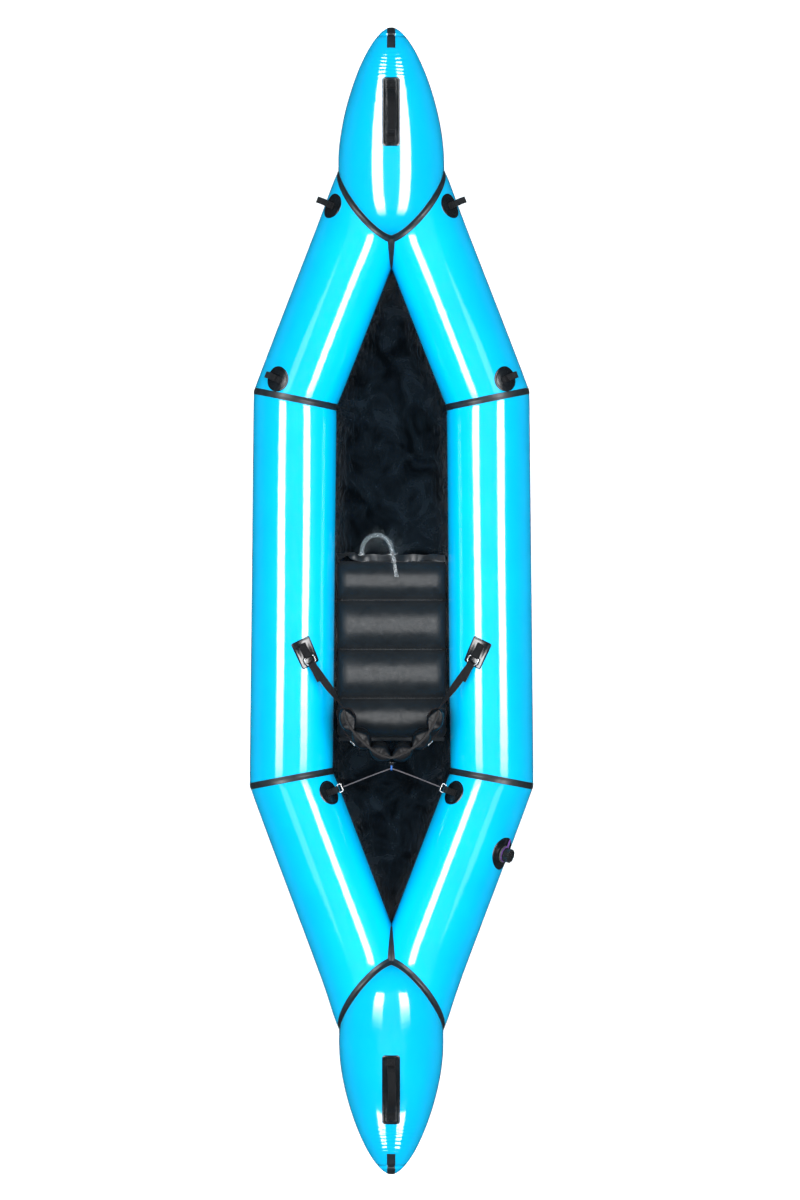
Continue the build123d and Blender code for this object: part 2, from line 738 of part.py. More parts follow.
def make_valve(tube):
    seat = VALVE_SEAT
    with BuildPart() as flange:
        add(tube.part)
        with BuildSketch(seat.offset(-40)):
            Circle(VALVE_PATCH_D / 2)
            Circle(VALVE_HOLE_R, mode=Mode.SUBTRACT)
        extrude(amount=60, mode=Mode.INTERSECT)
    save(flange, "valve_patch")

    with BuildPart() as body:
        for low, high, radius in ((-16, 3, 20), (2.4, 6, 27), (6, 18, 17)):
            with BuildSketch(seat.offset(low)):
                Circle(radius)
            extrude(amount=high - low)
        for low, high, radius in ((-17, -8, 12), (-8, -5, 8), (-5, 19, 12)):
            with BuildSketch(seat.offset(low)):
                Circle(radius)
            extrude(amount=high - low, mode=Mode.SUBTRACT)
    save(body, "valve_body")

    with BuildPart() as diaphragm:
        with BuildSketch(seat.offset(-9.8)):
            Circle(11.0)
        extrude(amount=1.6)
        with BuildSketch(seat.offset(-8.2)):
            Circle(2.5)
        extrude(amount=9)
    save(diaphragm, "valve_diaphragm")

    with BuildPart() as tether:
        with BuildSketch(seat.offset(6.3)):
            Circle(CAP_R + 2)
            with Locations((-32, 0)):
                RectangleRounded(36, 8, 3.5)
            Circle(17.4, mode=Mode.SUBTRACT)
        extrude(amount=1.6)
    save(tether, "valve_tether")

    with BuildPart() as cap:
        with BuildSketch(seat.offset(8.3)):
            Circle(CAP_R)
            with PolarLocations(CAP_R + 1.2, 9):
                Circle(3.2, mode=Mode.SUBTRACT)
        extrude(amount=21)
        fillet(cap.faces().sort_by(Axis(seat.origin, seat.z_dir))[-1].edges(), 1.2)
        with BuildSketch(seat.offset(8)):
            Circle(17.4)
        extrude(amount=18, mode=Mode.SUBTRACT)
    save(cap, "valve_cap")
    tell("valve axis", seat.origin, seat.z_dir)


VALVE_SEAT = STERN.on_tube(-1, VALVE_U, VALVE_ANGLE)

# place along the end tube, angle from its crown, lean of the loop from the patch's normal, loop length
TIE_POINTS = {
    "bow": (BOW, 609, 56, 20, 40),
    "shoulder": (BOW, 50, 33, 58, 34),
    "rear": (STERN, 96, -48, 35, 24),
}


def main():
    os.makedirs("parts", exist_ok=True)
    for name, side in SIDES.items():
        make_side_tube(name, side)
        make_strap_anchor(name, side)
        for end in (BOW, STERN):
            make_end_tube(end, name, side)
            make_mitre_tape(end, name, side)
    for end in (BOW, STERN):
        make_cone(end)
        make_yoke_tape(end)
        make_handle_patch(end)
        make_handle(end)
    make_tip_tapes()
    make_handle_ends()
    make_floor()
    bungee_ends = []
    turn = Vector(BUNGEE_TURN_X, 0, BUNGEE_TURN_Z)
    for name, side in SIDES.items():
        for place, (end, along, angle, lean, length) in TIE_POINTS.items():
            seat = end.on_tube(side, along, angle)
            skin = tube_skin(end.tube_plane(side), along - 80, along + 80, LIFT, PATCH_T, [])
            make_tie_patch(f"{name}_{place}", seat, skin)
            # leaning outboard turns opposite ways about the tube's line on the two sides
            outboard = -side * end.heading
            tip = make_loop(f"{name}_{place}", seat, outboard * lean * (1 if angle > 0 else -1), length)
            if place == "rear":
                bungee_ends.append(make_hook(name, tip, seat.x_dir, turn))
    make_bungee(bungee_ends)
    make_backrest()
    make_seat()
    make_hose()
    make_valve(tube_skin(STERN.tube_plane(-1), VALVE_U - 90, VALVE_U + 90, LIFT, PATCH_T, []))


main()
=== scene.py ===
import json
from math import atan2, cos, pi, radians, sin, tan

import bpy
import numpy as np
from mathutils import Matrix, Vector

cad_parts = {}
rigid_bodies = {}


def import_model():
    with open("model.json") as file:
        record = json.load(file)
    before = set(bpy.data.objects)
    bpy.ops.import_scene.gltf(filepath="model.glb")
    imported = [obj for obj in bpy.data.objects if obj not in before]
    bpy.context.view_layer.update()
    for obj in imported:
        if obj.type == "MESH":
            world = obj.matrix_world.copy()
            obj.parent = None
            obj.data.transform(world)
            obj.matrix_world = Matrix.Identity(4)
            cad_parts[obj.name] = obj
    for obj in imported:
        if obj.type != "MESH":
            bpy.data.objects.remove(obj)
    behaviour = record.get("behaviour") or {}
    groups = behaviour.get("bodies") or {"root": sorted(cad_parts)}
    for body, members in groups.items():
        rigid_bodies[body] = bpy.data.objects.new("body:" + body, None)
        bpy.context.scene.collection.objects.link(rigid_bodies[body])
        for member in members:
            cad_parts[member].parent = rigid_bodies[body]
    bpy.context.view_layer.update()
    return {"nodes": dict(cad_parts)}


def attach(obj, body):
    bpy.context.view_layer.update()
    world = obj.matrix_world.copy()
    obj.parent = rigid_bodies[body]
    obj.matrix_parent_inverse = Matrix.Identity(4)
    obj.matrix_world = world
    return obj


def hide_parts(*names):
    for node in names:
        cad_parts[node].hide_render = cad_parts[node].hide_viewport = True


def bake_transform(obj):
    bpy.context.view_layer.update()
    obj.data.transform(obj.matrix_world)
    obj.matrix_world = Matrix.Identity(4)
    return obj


# Inflatable kayak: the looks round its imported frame. Metres, +X bow, +Y port, +Z up.

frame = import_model()

HULL_Z, R = 0.1372, 0.134
RISE = radians(12)
CONE_W, CONE_L = 0.006, 0.642
WEBBING_WIDE = 0.0245
CONE_NOSE = [(0, 0), (0, 66), (230, 165), (430, 170)]
CONE_TAIL = [(430, 170), (520, 172), (615, 162), (642, 88)]
VALLEY, MITRE_DIP = 0.007, 0.0016
SIDES = {"port": 1, "starboard": -1}


def vec(*c):
    return np.array(c, float)


def unit(v):
    v = np.asarray(v, float)
    return v / np.linalg.norm(v, axis=-1, keepdims=True)


# ---------------------------------------------------------------- materials


class Nodes:
    """A material's node tree, with short ways to add the nodes used here."""

    def __init__(self, name):
        self.material = bpy.data.materials.new(name)
        self.material.use_nodes = True
        self.tree = self.material.node_tree
        self.shader = self.tree.nodes["Principled BSDF"]
        self.where = self.tree.nodes.new("ShaderNodeTexCoord").outputs["Object"]

    def link(self, a, b):
        self.tree.links.new(a, b)

    def uv(self):
        return self.tree.nodes.new("ShaderNodeTexCoord").outputs["UV"]

    def noise(self, scale, detail=3.0, rough=0.5, where=None, distort=0.0):
        node = self.tree.nodes.new("ShaderNodeTexNoise")
        node.inputs["Scale"].default_value = scale
        node.inputs["Detail"].default_value = detail
        node.inputs["Roughness"].default_value = rough
        node.inputs["Distortion"].default_value = distort
        self.link(where or self.where, node.inputs["Vector"])
        return node.outputs["Fac"]

    def stretched(self, scale, where=None):
        node = self.tree.nodes.new("ShaderNodeMapping")
        node.inputs["Scale"].default_value = scale
        self.link(where or self.where, node.inputs["Vector"])
        return node.outputs["Vector"]

    def bands(self, scale, direction, where, profile="SIN"):
        node = self.tree.nodes.new("ShaderNodeTexWave")
        node.wave_type, node.bands_direction, node.wave_profile = "BANDS", direction, profile
        node.inputs["Scale"].default_value = scale
        self.link(where, node.inputs["Vector"])
        return node.outputs["Fac"]

    def math(self, kind, a, b):
        node = self.tree.nodes.new("ShaderNodeMath")
        node.operation = kind
        for socket, value in zip(node.inputs, (a, b)):
            if isinstance(value, (int, float)):
                socket.default_value = value
            else:
                self.link(value, socket)
        return node.outputs[0]

    def ramp(self, value, low, high, from_low=0.3, from_high=0.7):
        node = self.tree.nodes.new("ShaderNodeMapRange")
        for key, number in (
            ("From Min", from_low), ("From Max", from_high), ("To Min", low), ("To Max", high),
        ):
            node.inputs[key].default_value = number
        self.link(value, node.inputs["Value"])
        return node.outputs["Result"]

    def mix(self, factor, a, b):
        node = self.tree.nodes.new("ShaderNodeMix")
        node.data_type = "RGBA"
        self.link(factor, node.inputs["Factor"])
        for key, value in (("A", a), ("B", b)):
            socket = next(s for s in node.inputs if s.name == key and s.type == "RGBA")
            if isinstance(value, tuple):
                socket.default_value = (*value, 1)
            else:
                self.link(value, socket)
        return next(s for s in node.outputs if s.type == "RGBA")

    def bump(self, height, strength, distance, before=None):
        node = self.tree.nodes.new("ShaderNodeBump")
        node.inputs["Strength"].default_value = strength
        node.inputs["Distance"].default_value = distance
        self.link(height, node.inputs["Height"])
        if before is not None:
            self.link(before, node.inputs["Normal"])
        return node.outputs["Normal"]

    def finish(self, color=None, rough=None, normal=None, **sockets):
        for socket, value in (("Base Color", color), ("Roughness", rough), ("Normal", normal)):
            if isinstance(value, tuple):
                self.shader.inputs[socket].default_value = (*value, 1)
            elif isinstance(value, float):
                self.shader.inputs[socket].default_value = value
            elif value is not None:
                self.link(value, self.shader.inputs[socket])
        for name, value in sockets.items():
            self.shader.inputs[name.replace("_", " ")].default_value = value
        return self.material


def hull_material():
    n = Nodes("hull_tpu")
    broad = n.noise(6, 2)
    color = n.mix(n.ramp(broad, 0, 1), (0.0, 0.395, 0.72), (0.0, 0.43, 0.76))
    grain = n.noise(900, 2, 0.6)
    waves = n.noise(28, 2, 0.45)
    normal = n.bump(waves, 0.35, 0.0012, n.bump(grain, 0.3, 0.00004))
    rough = n.ramp(n.noise(60, 3), 0.07, 0.13)
    return n.finish(color, rough, normal, IOR=1.5, Specular_IOR_Level=0.8,
                    Coat_Weight=0.6, Coat_Roughness=0.04)


def tape_material():
    n = Nodes("seam_tape")
    where = n.uv()
    rib = n.bands(260, "X", where)
    color = n.mix(n.ramp(n.noise(40), 0, 1), (0.009, 0.014, 0.018), (0.016, 0.024, 0.030))
    normal = n.bump(rib, 0.12, 0.0002, n.bump(n.noise(500), 0.2, 0.0002))
    return n.finish(color, n.ramp(n.noise(90), 0.3, 0.44), normal)


def patch_material():
    n = Nodes("patch_fabric")
    weave = n.math("ADD", n.bands(330, "X", n.where), n.bands(330, "Y", n.where))
    color = n.mix(n.ramp(n.noise(45), 0, 1), (0.003, 0.0045, 0.006), (0.007, 0.010, 0.013))
    normal = n.bump(weave, 0.15, 0.00015, n.bump(n.noise(70, 3), 0.3, 0.0008))
    return n.finish(color, n.ramp(n.noise(110, 4), 0.12, 0.26), normal, Coat_Weight=0.5, Coat_Roughness=0.08)


def webbing_material(name, dark, light, rough=0.6):
    """Woven tape: ribs across and herringbone along, on the strip's own length and width in metres."""
    n = Nodes(name)
    where = n.uv()
    across = n.bands(230, "X", where)
    along = n.bands(160, "Y", where)
    weave = n.math("MULTIPLY", across, n.math("ADD", n.math("MULTIPLY", along, 0.6), 0.4))
    color = n.mix(n.math("MULTIPLY", weave, n.ramp(n.noise(90), 0.5, 1)), dark, light)
    normal = n.bump(weave, 0.6, 0.0006, n.bump(n.noise(1400), 0.3, 0.0002))
    return n.finish(color, rough, normal, Sheen_Weight=0.02, Specular_IOR_Level=0.16)


def floor_material():
    n = Nodes("floor_fabric")
    # lighter bluish blotches painted into the black floor's colour: painted reflections of the blue hull; the same
    # blotches also make the floor rougher
    reflection_blotch = n.noise(9, 5, 0.6, distort=1.2)
    color = n.mix(n.ramp(reflection_blotch, 0, 1, 0.4, 0.75), (0.0008, 0.0016, 0.0025), (0.005, 0.010, 0.015))
    creases = n.noise(16, 5, 0.62, n.stretched((1.0, 2.2, 1.0)), 1.6)
    normal = n.bump(creases, 0.55, 0.004, n.bump(n.noise(800), 0.3, 0.0001))
    return n.finish(color, n.ramp(reflection_blotch, 0.13, 0.33, 0.35, 0.7), normal, Specular_IOR_Level=0.4)


def seat_material(name, dark, light, low, high, sheen=0.05, gloss=0.5):
    n = Nodes(name)
    color = n.mix(n.ramp(n.noise(25, 4), 0, 1), dark, light)
    weave = n.noise(1600, 2, 0.7)
    normal = n.bump(weave, 0.25, 0.00025, n.bump(n.noise(38, 3, 0.5), 0.22, 0.0018))
    return n.finish(color, n.ramp(n.noise(70, 4), low, high), normal, Sheen_Weight=sheen, Specular_IOR_Level=gloss)


def plastic_material(name, dark, light, low, high):
    n = Nodes(name)
    color = n.mix(n.ramp(n.noise(120, 4), 0, 1), dark, light)
    return n.finish(color, n.ramp(n.noise(220, 3), low, high), n.bump(n.noise(700, 3), 0.15, 0.0003))


def metal_material():
    n = Nodes("steel_wire")
    scratches = n.noise(400, 4, 0.6, n.stretched((1.0, 1.0, 6.0)))
    color = n.mix(n.ramp(scratches, 0, 1), (0.55, 0.56, 0.58), (0.78, 0.79, 0.8))
    return n.finish(color, n.ramp(scratches, 0.16, 0.34), n.bump(scratches, 0.1, 0.0001), Metallic=1.0)


def clear_material(name, tint, rough, ior=1.33):
    n = Nodes(name)
    haze = n.noise(80, 4)
    color = n.mix(n.ramp(haze, 0, 1), tuple(0.9 * c for c in tint), tint)
    return n.finish(color, n.ramp(haze, rough, rough + 0.05), n.bump(n.noise(200), 0.05, 0.0003),
                    Transmission_Weight=0.96, IOR=ior)


def cord_material(name, dark, light):
    n = Nodes(name)
    where = n.uv()
    twill = n.math("MULTIPLY", n.bands(420, "DIAGONAL", where), n.bands(420, "X", where))
    color = n.mix(twill, dark, light)
    return n.finish(color, 0.65, n.bump(twill, 0.8, 0.0005))


M = {
    "hull": hull_material(),
    "tape": tape_material(),
    "patch": patch_material(),
    "webbing": webbing_material("webbing", (0.0025, 0.0032, 0.004), (0.011, 0.013, 0.016), 0.5),
    "strap": webbing_material("strap", (0.004, 0.0045, 0.0055), (0.018, 0.018, 0.020)),
    "strap_edge": webbing_material("strap_edge", (0.014, 0.008, 0.007), (0.040, 0.025, 0.022)),
    "binding": webbing_material("binding", (0.014, 0.013, 0.013), (0.058, 0.053, 0.052)),
    "thread": cord_material("thread", (0.012, 0.012, 0.014), (0.05, 0.05, 0.055)),
    "floor": floor_material(),
    "seat": seat_material("seat_fabric", (0.007, 0.0095, 0.012), (0.011, 0.0145, 0.0175), 0.36, 0.44),
    "backrest": seat_material("backrest_fabric", (0.0015, 0.0017, 0.0025), (0.0045, 0.0048, 0.0065),
                              0.40, 0.52, sheen=0.0, gloss=0.35),
    "plastic": plastic_material("valve_plastic", (0.008, 0.009, 0.010), (0.016, 0.018, 0.020), 0.14, 0.3),
    "rim": plastic_material("valve_rim", (0.045, 0.048, 0.05), (0.09, 0.095, 0.10), 0.25, 0.4),
    "rubber": plastic_material("valve_rubber", (0.02, 0.02, 0.02), (0.05, 0.05, 0.05), 0.5, 0.7),
    "tether": plastic_material("tether", (0.10, 0.03, 0.22), (0.17, 0.06, 0.34), 0.35, 0.5),
    "steel": metal_material(),
    "hose": clear_material("clear_hose", (0.84, 0.90, 0.93), 0.01, 1.18),
    "fitting": clear_material("clear_fitting", (0.78, 0.82, 0.84), 0.12),
    "bungee": cord_material("bungee", (0.05, 0.045, 0.05), (0.22, 0.20, 0.22)),
    "blue_cord": cord_material("blue_cord", (0.0, 0.10, 0.42), (0.02, 0.30, 0.85)),
}

# ---------------------------------------------------------------- meshes


def add_mesh(name, points, faces, material, body, uv=None):
    data = bpy.data.meshes.new(name)
    data.from_pydata([tuple(p) for p in points], [], [tuple(f) for f in faces])
    if uv is not None:
        layer = data.uv_layers.new(name="length")
        index = np.zeros(len(data.loops), int)
        data.loops.foreach_get("vertex_index", index)
        layer.data.foreach_set("uv", np.asarray(uv, np.float32)[index].ravel())
    data.shade_smooth()
    data.materials.append(M[material])
    obj = bpy.data.objects.new(name, data)
    bpy.context.scene.collection.objects.link(obj)
    if body:
        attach(obj, body)
    return obj


def grid_faces(rows, cols, wrap_rows=False, wrap_cols=False, start=0):
    i = np.arange(rows if wrap_rows else rows - 1)
    j = np.arange(cols if wrap_cols else cols - 1)
    a, b = np.meshgrid(i, j, indexing="ij")
    c, d = (a + 1) % rows, (b + 1) % cols
    faces = np.stack([a * cols + b, c * cols + b, c * cols + d, a * cols + d], -1)
    return (faces.reshape(-1, 4) + start).tolist()


def outward(points, faces, inside):
    """The faces, turned so that most of them face away from the points called inside."""
    p = points[np.array([f[:3] for f in faces])]
    normal = np.cross(p[:, 1] - p[:, 0], p[:, 2] - p[:, 0])
    away = p.mean(1) - inside(p.mean(1))
    if (normal * away).sum() < 0:
        return [f[::-1] for f in faces]
    return faces


def facing(points, faces, away):
    """The faces, turned so that most of them look the way away says for each point."""
    p = points[np.array([f[:3] for f in faces])]
    normal = np.cross(p[:, 1] - p[:, 0], p[:, 2] - p[:, 0])
    if (normal * away[[f[0] for f in faces]]).sum() < 0:
        return [f[::-1] for f in faces]
    return faces


def grid_normals(grid, away):
    """Unit normals of a grid of points, on the side that away (a direction per point) looks to."""
    normal = unit(np.cross(np.gradient(grid, axis=0), np.gradient(grid, axis=1)) + 1e-12)
    flip = np.sign((normal * away).sum(-1, keepdims=True))
    return normal * np.where(flip == 0, 1, flip)


# ---------------------------------------------------------------- the hull's ends


def bezier(points, count):
    t, p = np.linspace(0, 1, count)[:, None], np.array(points) / 1000
    return (1 - t) ** 3 * p[0] + 3 * (1 - t) ** 2 * t * p[1] + 3 * (1 - t) * t**2 * p[2] + t**3 * p[3]


PROFILE = np.vstack([bezier(CONE_NOSE, 500), bezier(CONE_TAIL, 300)[1:]])


def cone_r(s):
    return np.interp(s, PROFILE[:, 0], PROFILE[:, 1])


class End:
    def __init__(self, name, heading, mitre_x, half, converge, tip_u):
        self.name, self.heading, self.mitre_x = name, heading, mitre_x
        self.half, self.converge, self.tip_u = half, converge, tip_u
        self.origin = vec(heading * mitre_x, 0, HULL_Z)
        self.u = vec(heading * cos(RISE), 0, sin(RISE))
        self.w = vec(-heading * sin(RISE), 0, cos(RISE))
        self.yaw = atan2(half, converge)

    def at(self, u, y, w):
        u, y, w = (np.asarray(c, float)[..., None] for c in (u, y, w))
        return self.origin + self.u * u + self.w * w + vec(0, 1, 0) * y

    def along(self, side):
        return self.u * cos(self.yaw) - vec(0, side, 0) * sin(self.yaw)

    def out(self, side):
        return self.u * sin(self.yaw) + vec(0, side, 0) * cos(self.yaw)

    def start(self, side):
        return self.origin + vec(0, side * self.half, 0)

    def normal(self, side, theta):
        theta = np.asarray(theta, float)[..., None]
        return self.w * np.cos(theta) + self.out(side) * np.sin(theta)

    def mitre(self, side):
        return unit(side_along(side) * self.heading + self.along(side))

    def yoke(self, side):
        n = self.u * 0.655 - vec(0, side, 0) * 0.667 + self.w * 0.355
        return self.at(self.tip_u - CONE_L, 0, CONE_W + 0.089), unit(n)


BOW = End("bow", 1, 0.6485, 0.311, 0.770, 1.142)
STERN = End("stern", -1, 0.577, 0.3235, 0.825, 1.215)


def side_end(heading, side):
    return (BOW if heading > 0 else STERN).start(side)


def side_along(side):
    return unit(side_end(1, side) - side_end(-1, side))


def side_normal(side, theta):
    theta = np.asarray(theta, float)[..., None]
    return vec(0, 0, 1) * np.cos(theta) + vec(0, side, 0) * np.sin(theta)


class Seam:
    """Where an end tube and the cone meet on one side: both skins are drawn to one shared curve."""

    def __init__(self, end, side):
        self.end, self.side = end, side
        apex, q = end.yoke(side)
        axis = end.at(end.tip_u, 0, CONE_W)
        middle = axis + end.u * (((apex - axis) @ q) / (end.u @ q))
        self.middle = middle
        # the seam plane meets the middle plane along this line, so a turn of 0 lies on the centre
        line = np.cross(q, vec(0, 1, 0))
        line = unit(line) * np.sign(line @ end.w)
        self.top = line
        self.outer = unit(np.cross(q, line)) * np.sign(np.cross(q, line)[1] * side)
        self.q, self.apex = q, apex

        self.theta = np.linspace(-pi, pi, 1441)
        base = end.start(side) + end.normal(side, self.theta) * R
        along = end.along(side)
        self.t_yoke = ((apex - base) @ q) / (along @ q)
        self.t_centre = -base[:, 1] / along[1]
        tube = base + along * self.t_yoke[:, None]
        turn_t, rho_t = self.polar(tube)
        self.on_yoke = (tube[:, 1] * side) >= 0
        self.phi = np.linspace(0, pi, 721)
        self.s_end = self.cone_end(self.phi)
        cone = self.cone_base(self.phi, self.s_end)
        turn_c, rho_c = self.polar(cone)

        order = np.argsort(turn_t)
        self.turn = np.linspace(0, pi, 361)
        shared_t = np.interp(self.turn, turn_t[order], rho_t[order])
        shared_c = np.interp(self.turn, np.maximum.accumulate(turn_c), rho_c)
        self.rho = 0.5 * (shared_t + shared_c)
        self.theta_of = np.interp(self.turn, turn_t[order], np.unwrap(self.theta[order]))
        self.phi_of = np.interp(self.turn, np.maximum.accumulate(turn_c), self.phi)

        def shift(turn, rho):
            radial = self.radial(turn)
            return radial * (np.interp(turn, self.turn, self.rho) - rho)[:, None], radial * -VALLEY

        long_t, short_t = shift(turn_t, rho_t)
        self.t_end = np.minimum(self.t_yoke, self.t_centre)
        end_points = base + along * self.t_end[:, None]
        spread_long = spread_short = 0
        for turn in (0.0, pi):
            corner = middle + self.radial(np.array([turn]))[0] * np.interp(turn, self.turn, shared_t)
            near = np.exp(-np.linalg.norm(end_points - corner, axis=1) / 0.04)[:, None]
            rho = np.interp(turn, self.turn, self.rho) - np.interp(turn, self.turn, shared_t)
            radial = self.radial(np.array([turn]))[0]
            spread_long = spread_long + near * radial * rho
            spread_short = spread_short - near * radial * VALLEY
        keep = self.on_yoke[:, None]
        self.long_t = np.where(keep, long_t, spread_long)
        self.short_t = np.where(keep, short_t, spread_short)
        self.long_c, self.short_c = shift(turn_c, rho_c)

    def polar(self, points):
        rel = points - self.middle
        x, y = rel @ self.top, rel @ self.outer
        turn = np.arctan2(y, x)
        return np.where(turn < -1e-9, turn, np.abs(turn)), np.hypot(x, y)

    def radial(self, turn):
        turn = np.asarray(turn, float)[..., None]
        return self.top * np.cos(turn) + self.outer * np.sin(turn)

    def cone_base(self, phi, s, lift=0.0):
        end = self.end
        phi, s = np.broadcast_arrays(np.asarray(phi, float), np.asarray(s, float))
        radius = cone_r(s) + lift
        return end.at(end.tip_u - s, self.side * radius * np.sin(phi), CONE_W + radius * np.cos(phi))

    def cone_end(self, phi):
        low, high = np.zeros_like(phi), np.full_like(phi, CONE_L)
        for _ in range(40):
            middle = (low + high) / 2
            before = (self.cone_base(phi, middle) - self.apex) @ self.q > 0
            low, high = np.where(before, middle, low), np.where(before, high, middle)
        return (low + high) / 2


SEAMS = {(end.name, side): Seam(end, side) for end in (BOW, STERN) for side in (1, -1)}


def lookup(x, xs, table):
    return np.stack([np.interp(x, xs, table[:, k]) for k in range(3)], -1)


def puckers(angle, distance, depth, reach, seed):
    """Small radiating folds that die away from a seam."""
    r = np.random.default_rng(seed)
    total = 0.0
    for count in (17, 26, 37, 53, 71):
        total = total + np.sin(count * angle + r.uniform(0, 6.28)) * r.uniform(0.5, 1) / count**0.4
    return depth * total * np.exp(-distance / reach)


def tube_surface(end, side, theta, t, lift=0.0):
    """Points of an end tube's inflated skin; theta from its crown to the outside, t along from the mitre."""
    seam = SEAMS[end.name, side]
    theta, t = np.broadcast_arrays(np.asarray(theta, float), np.asarray(t, float))
    wrapped = (theta + pi) % (2 * pi) - pi
    normal = end.normal(side, theta)
    start = mitre_start(end, side, theta)
    back = np.maximum(np.interp(wrapped, seam.theta, seam.t_end) - t, 0)
    ahead = np.maximum(t - start, 0)
    radius = R + lift
    radius = radius - MITRE_DIP * np.exp(-ahead / 0.014) + puckers(theta, ahead, 0.00016, 0.022, 3)
    radius = radius + puckers(theta * 1.3, back, 0.00022, 0.03, 5)
    radius = radius + 0.0005 * np.sin(9 * t + 2 * theta) * np.sin(2.1 * theta + 1)
    point = end.start(side) + end.along(side) * t[..., None] + normal * radius[..., None]
    point = point + lookup(wrapped, seam.theta, seam.long_t) * np.exp(-((back / 0.09) ** 2))[..., None]
    return point + lookup(wrapped, seam.theta, seam.short_t) * np.exp(-back / 0.024)[..., None]


def mitre_start(end, side, theta):
    m, along = end.mitre(side), end.along(side)
    return -(end.normal(side, theta) @ m) * R / (along @ m)


def cone_surface(end, phi, s, lift=0.0):
    """Points of an end cone's inflated skin; phi from its top to port, s from its tip."""
    phi, s = np.broadcast_arrays(np.asarray(phi, float), np.asarray(s, float))
    total = np.zeros(phi.shape + (3,))
    for side in (1, -1):
        seam = SEAMS[end.name, side]
        mine = np.where(side > 0, phi >= 0, phi < 0)
        a = np.abs(phi)
        s_end = np.interp(a, seam.phi, seam.s_end)
        back = np.maximum(s_end - s, 0)
        top = np.maximum(np.cos(phi), 0)
        crease = -0.0060 * np.exp(-(((s - 0.027) / 0.0042) ** 2)) * top**0.5
        window = np.exp(-(((s - 0.117) / 0.043) ** 4)) * np.exp(-((phi / 0.75) ** 2))
        ripple = 0.00035 * np.sin(2 * pi * s / 0.0115 + 1.6 * np.sin(4 * phi + 50 * s)) * window
        drift = 0.0004 * np.sin(7 * s + 3 * phi)
        dip = puckers(a * 1.2, back, 0.00022, 0.03, 11)
        point = seam.cone_base(a, s, lift + crease + ripple + drift + dip)
        point = point + lookup(a, seam.phi, seam.long_c) * np.exp(-((back / 0.09) ** 2))[..., None]
        point = point + lookup(a, seam.phi, seam.short_c) * np.exp(-back / 0.024)[..., None]
        total[mine] = point[mine]
    return total


def side_surface(side, theta, x_along, lift=0.0):
    """Points of a side tube's inflated skin; x_along is the distance from its stern mitre's centre."""
    theta, t = np.broadcast_arrays(np.asarray(theta, float), np.asarray(x_along, float))
    low, high = side_limits(side, theta)
    from_stern, from_bow = np.maximum(t - low, 0), np.maximum(high - t, 0)
    radius = R + lift - MITRE_DIP * (np.exp(-from_stern / 0.014) + np.exp(-from_bow / 0.014))
    radius = radius + puckers(theta, from_stern, 0.00016, 0.022, 21)
    radius = radius + puckers(theta, from_bow, 0.00016, 0.022, 22)
    radius = radius + 0.00045 * np.sin(6 * t + 2 * theta + side) * np.sin(2 * theta + 0.5)
    return side_end(-1, side) + side_along(side) * t[..., None] + side_normal(side, theta) * radius[..., None]


def side_limits(side, theta):
    along, normal = side_along(side), side_normal(side, theta)
    length = np.linalg.norm(side_end(1, side) - side_end(-1, side))
    stern, bow = STERN.mitre(side), BOW.mitre(side)
    low = -(normal @ stern) * R / (along @ stern)
    high = length - (normal @ bow) * R / (along @ bow)
    return low, high


def spread_to_ends(low, high, count, fine_low, fine_high):
    """Parameters from low to high for each line, with finer steps over the stretches at the ends."""
    v = eased = np.linspace(0, 1, count)
    if fine_low:
        eased = np.where(v < 0.5, 0.5 * (2 * eased) ** 1.7, eased)
    if fine_high:
        eased = np.where(v > 0.5, 1 - 0.5 * (2 * (1 - eased)) ** 1.7, eased)
    return low[:, None] + (high - low)[:, None] * eased[None, :]


def skin(name, grid, node, inside):
    rows, cols = grid.shape[:2]
    points = grid.reshape(-1, 3)
    faces = outward(points, grid_faces(rows, cols, wrap_rows=True), inside)
    obj = add_mesh(name, points, faces, "hull", "hull")
    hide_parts(node)
    return obj


def make_hull():
    around = np.linspace(-pi, pi, 220, endpoint=False)
    for name, side in SIDES.items():
        low, high = side_limits(side, around)
        t = spread_to_ends(low, high, 130, True, True)
        grid = side_surface(side, around[:, None], t)
        along, start = side_along(side), side_end(-1, side)
        skin(f"{name}_side_skin", grid, f"{name}_side_tube",
             lambda p: start + along * ((p - start) @ along)[:, None])
        for end in (BOW, STERN):
            seam = SEAMS[end.name, side]
            theta = np.sort(np.concatenate([around, edges_of(seam)]))
            low = mitre_start(end, side, theta)
            high = np.interp(theta, seam.theta, seam.t_end)
            t = spread_to_ends(low, high, 120, True, True)
            grid = tube_surface(end, side, theta[:, None], t)
            grid[..., 1] = side * np.maximum(side * grid[..., 1], 0.0002)
            a, b = end.along(side), end.start(side)
            skin(f"{end.name}_{name}_skin", grid, f"{end.name}_{name}_tube",
                 lambda p: b + a * ((p - b) @ a)[:, None])
    for end in (BOW, STERN):
        phi = np.linspace(-pi, pi, 200, endpoint=False)
        s_end = np.interp(np.abs(phi), SEAMS[end.name, 1].phi, SEAMS[end.name, 1].s_end)
        near_tip = np.linspace(0, 1, 220) ** 1.25 * 0.8
        near_seam = 0.8 + 0.2 * (1 - (1 - np.linspace(0, 1, 60)[1:]) ** 1.6)
        v = np.concatenate([near_tip, near_seam])
        s = s_end[:, None] * v[None, :]
        grid = cone_surface(end, phi[:, None], s)
        tip = end.at(end.tip_u, 0, CONE_W)
        skin(f"{end.name}_cone_skin", grid, f"{end.name}_cone",
             lambda p: tip + end.u * ((p - tip) @ end.u)[:, None])


def edges_of(seam):
    """The tube angles where its end changes from the cone's seam to the middle plane."""
    change = np.nonzero(np.diff(seam.on_yoke.astype(int)))[0]
    return seam.theta[change] + 1e-4


make_hull()

# ---------------------------------------------------------------- tapes


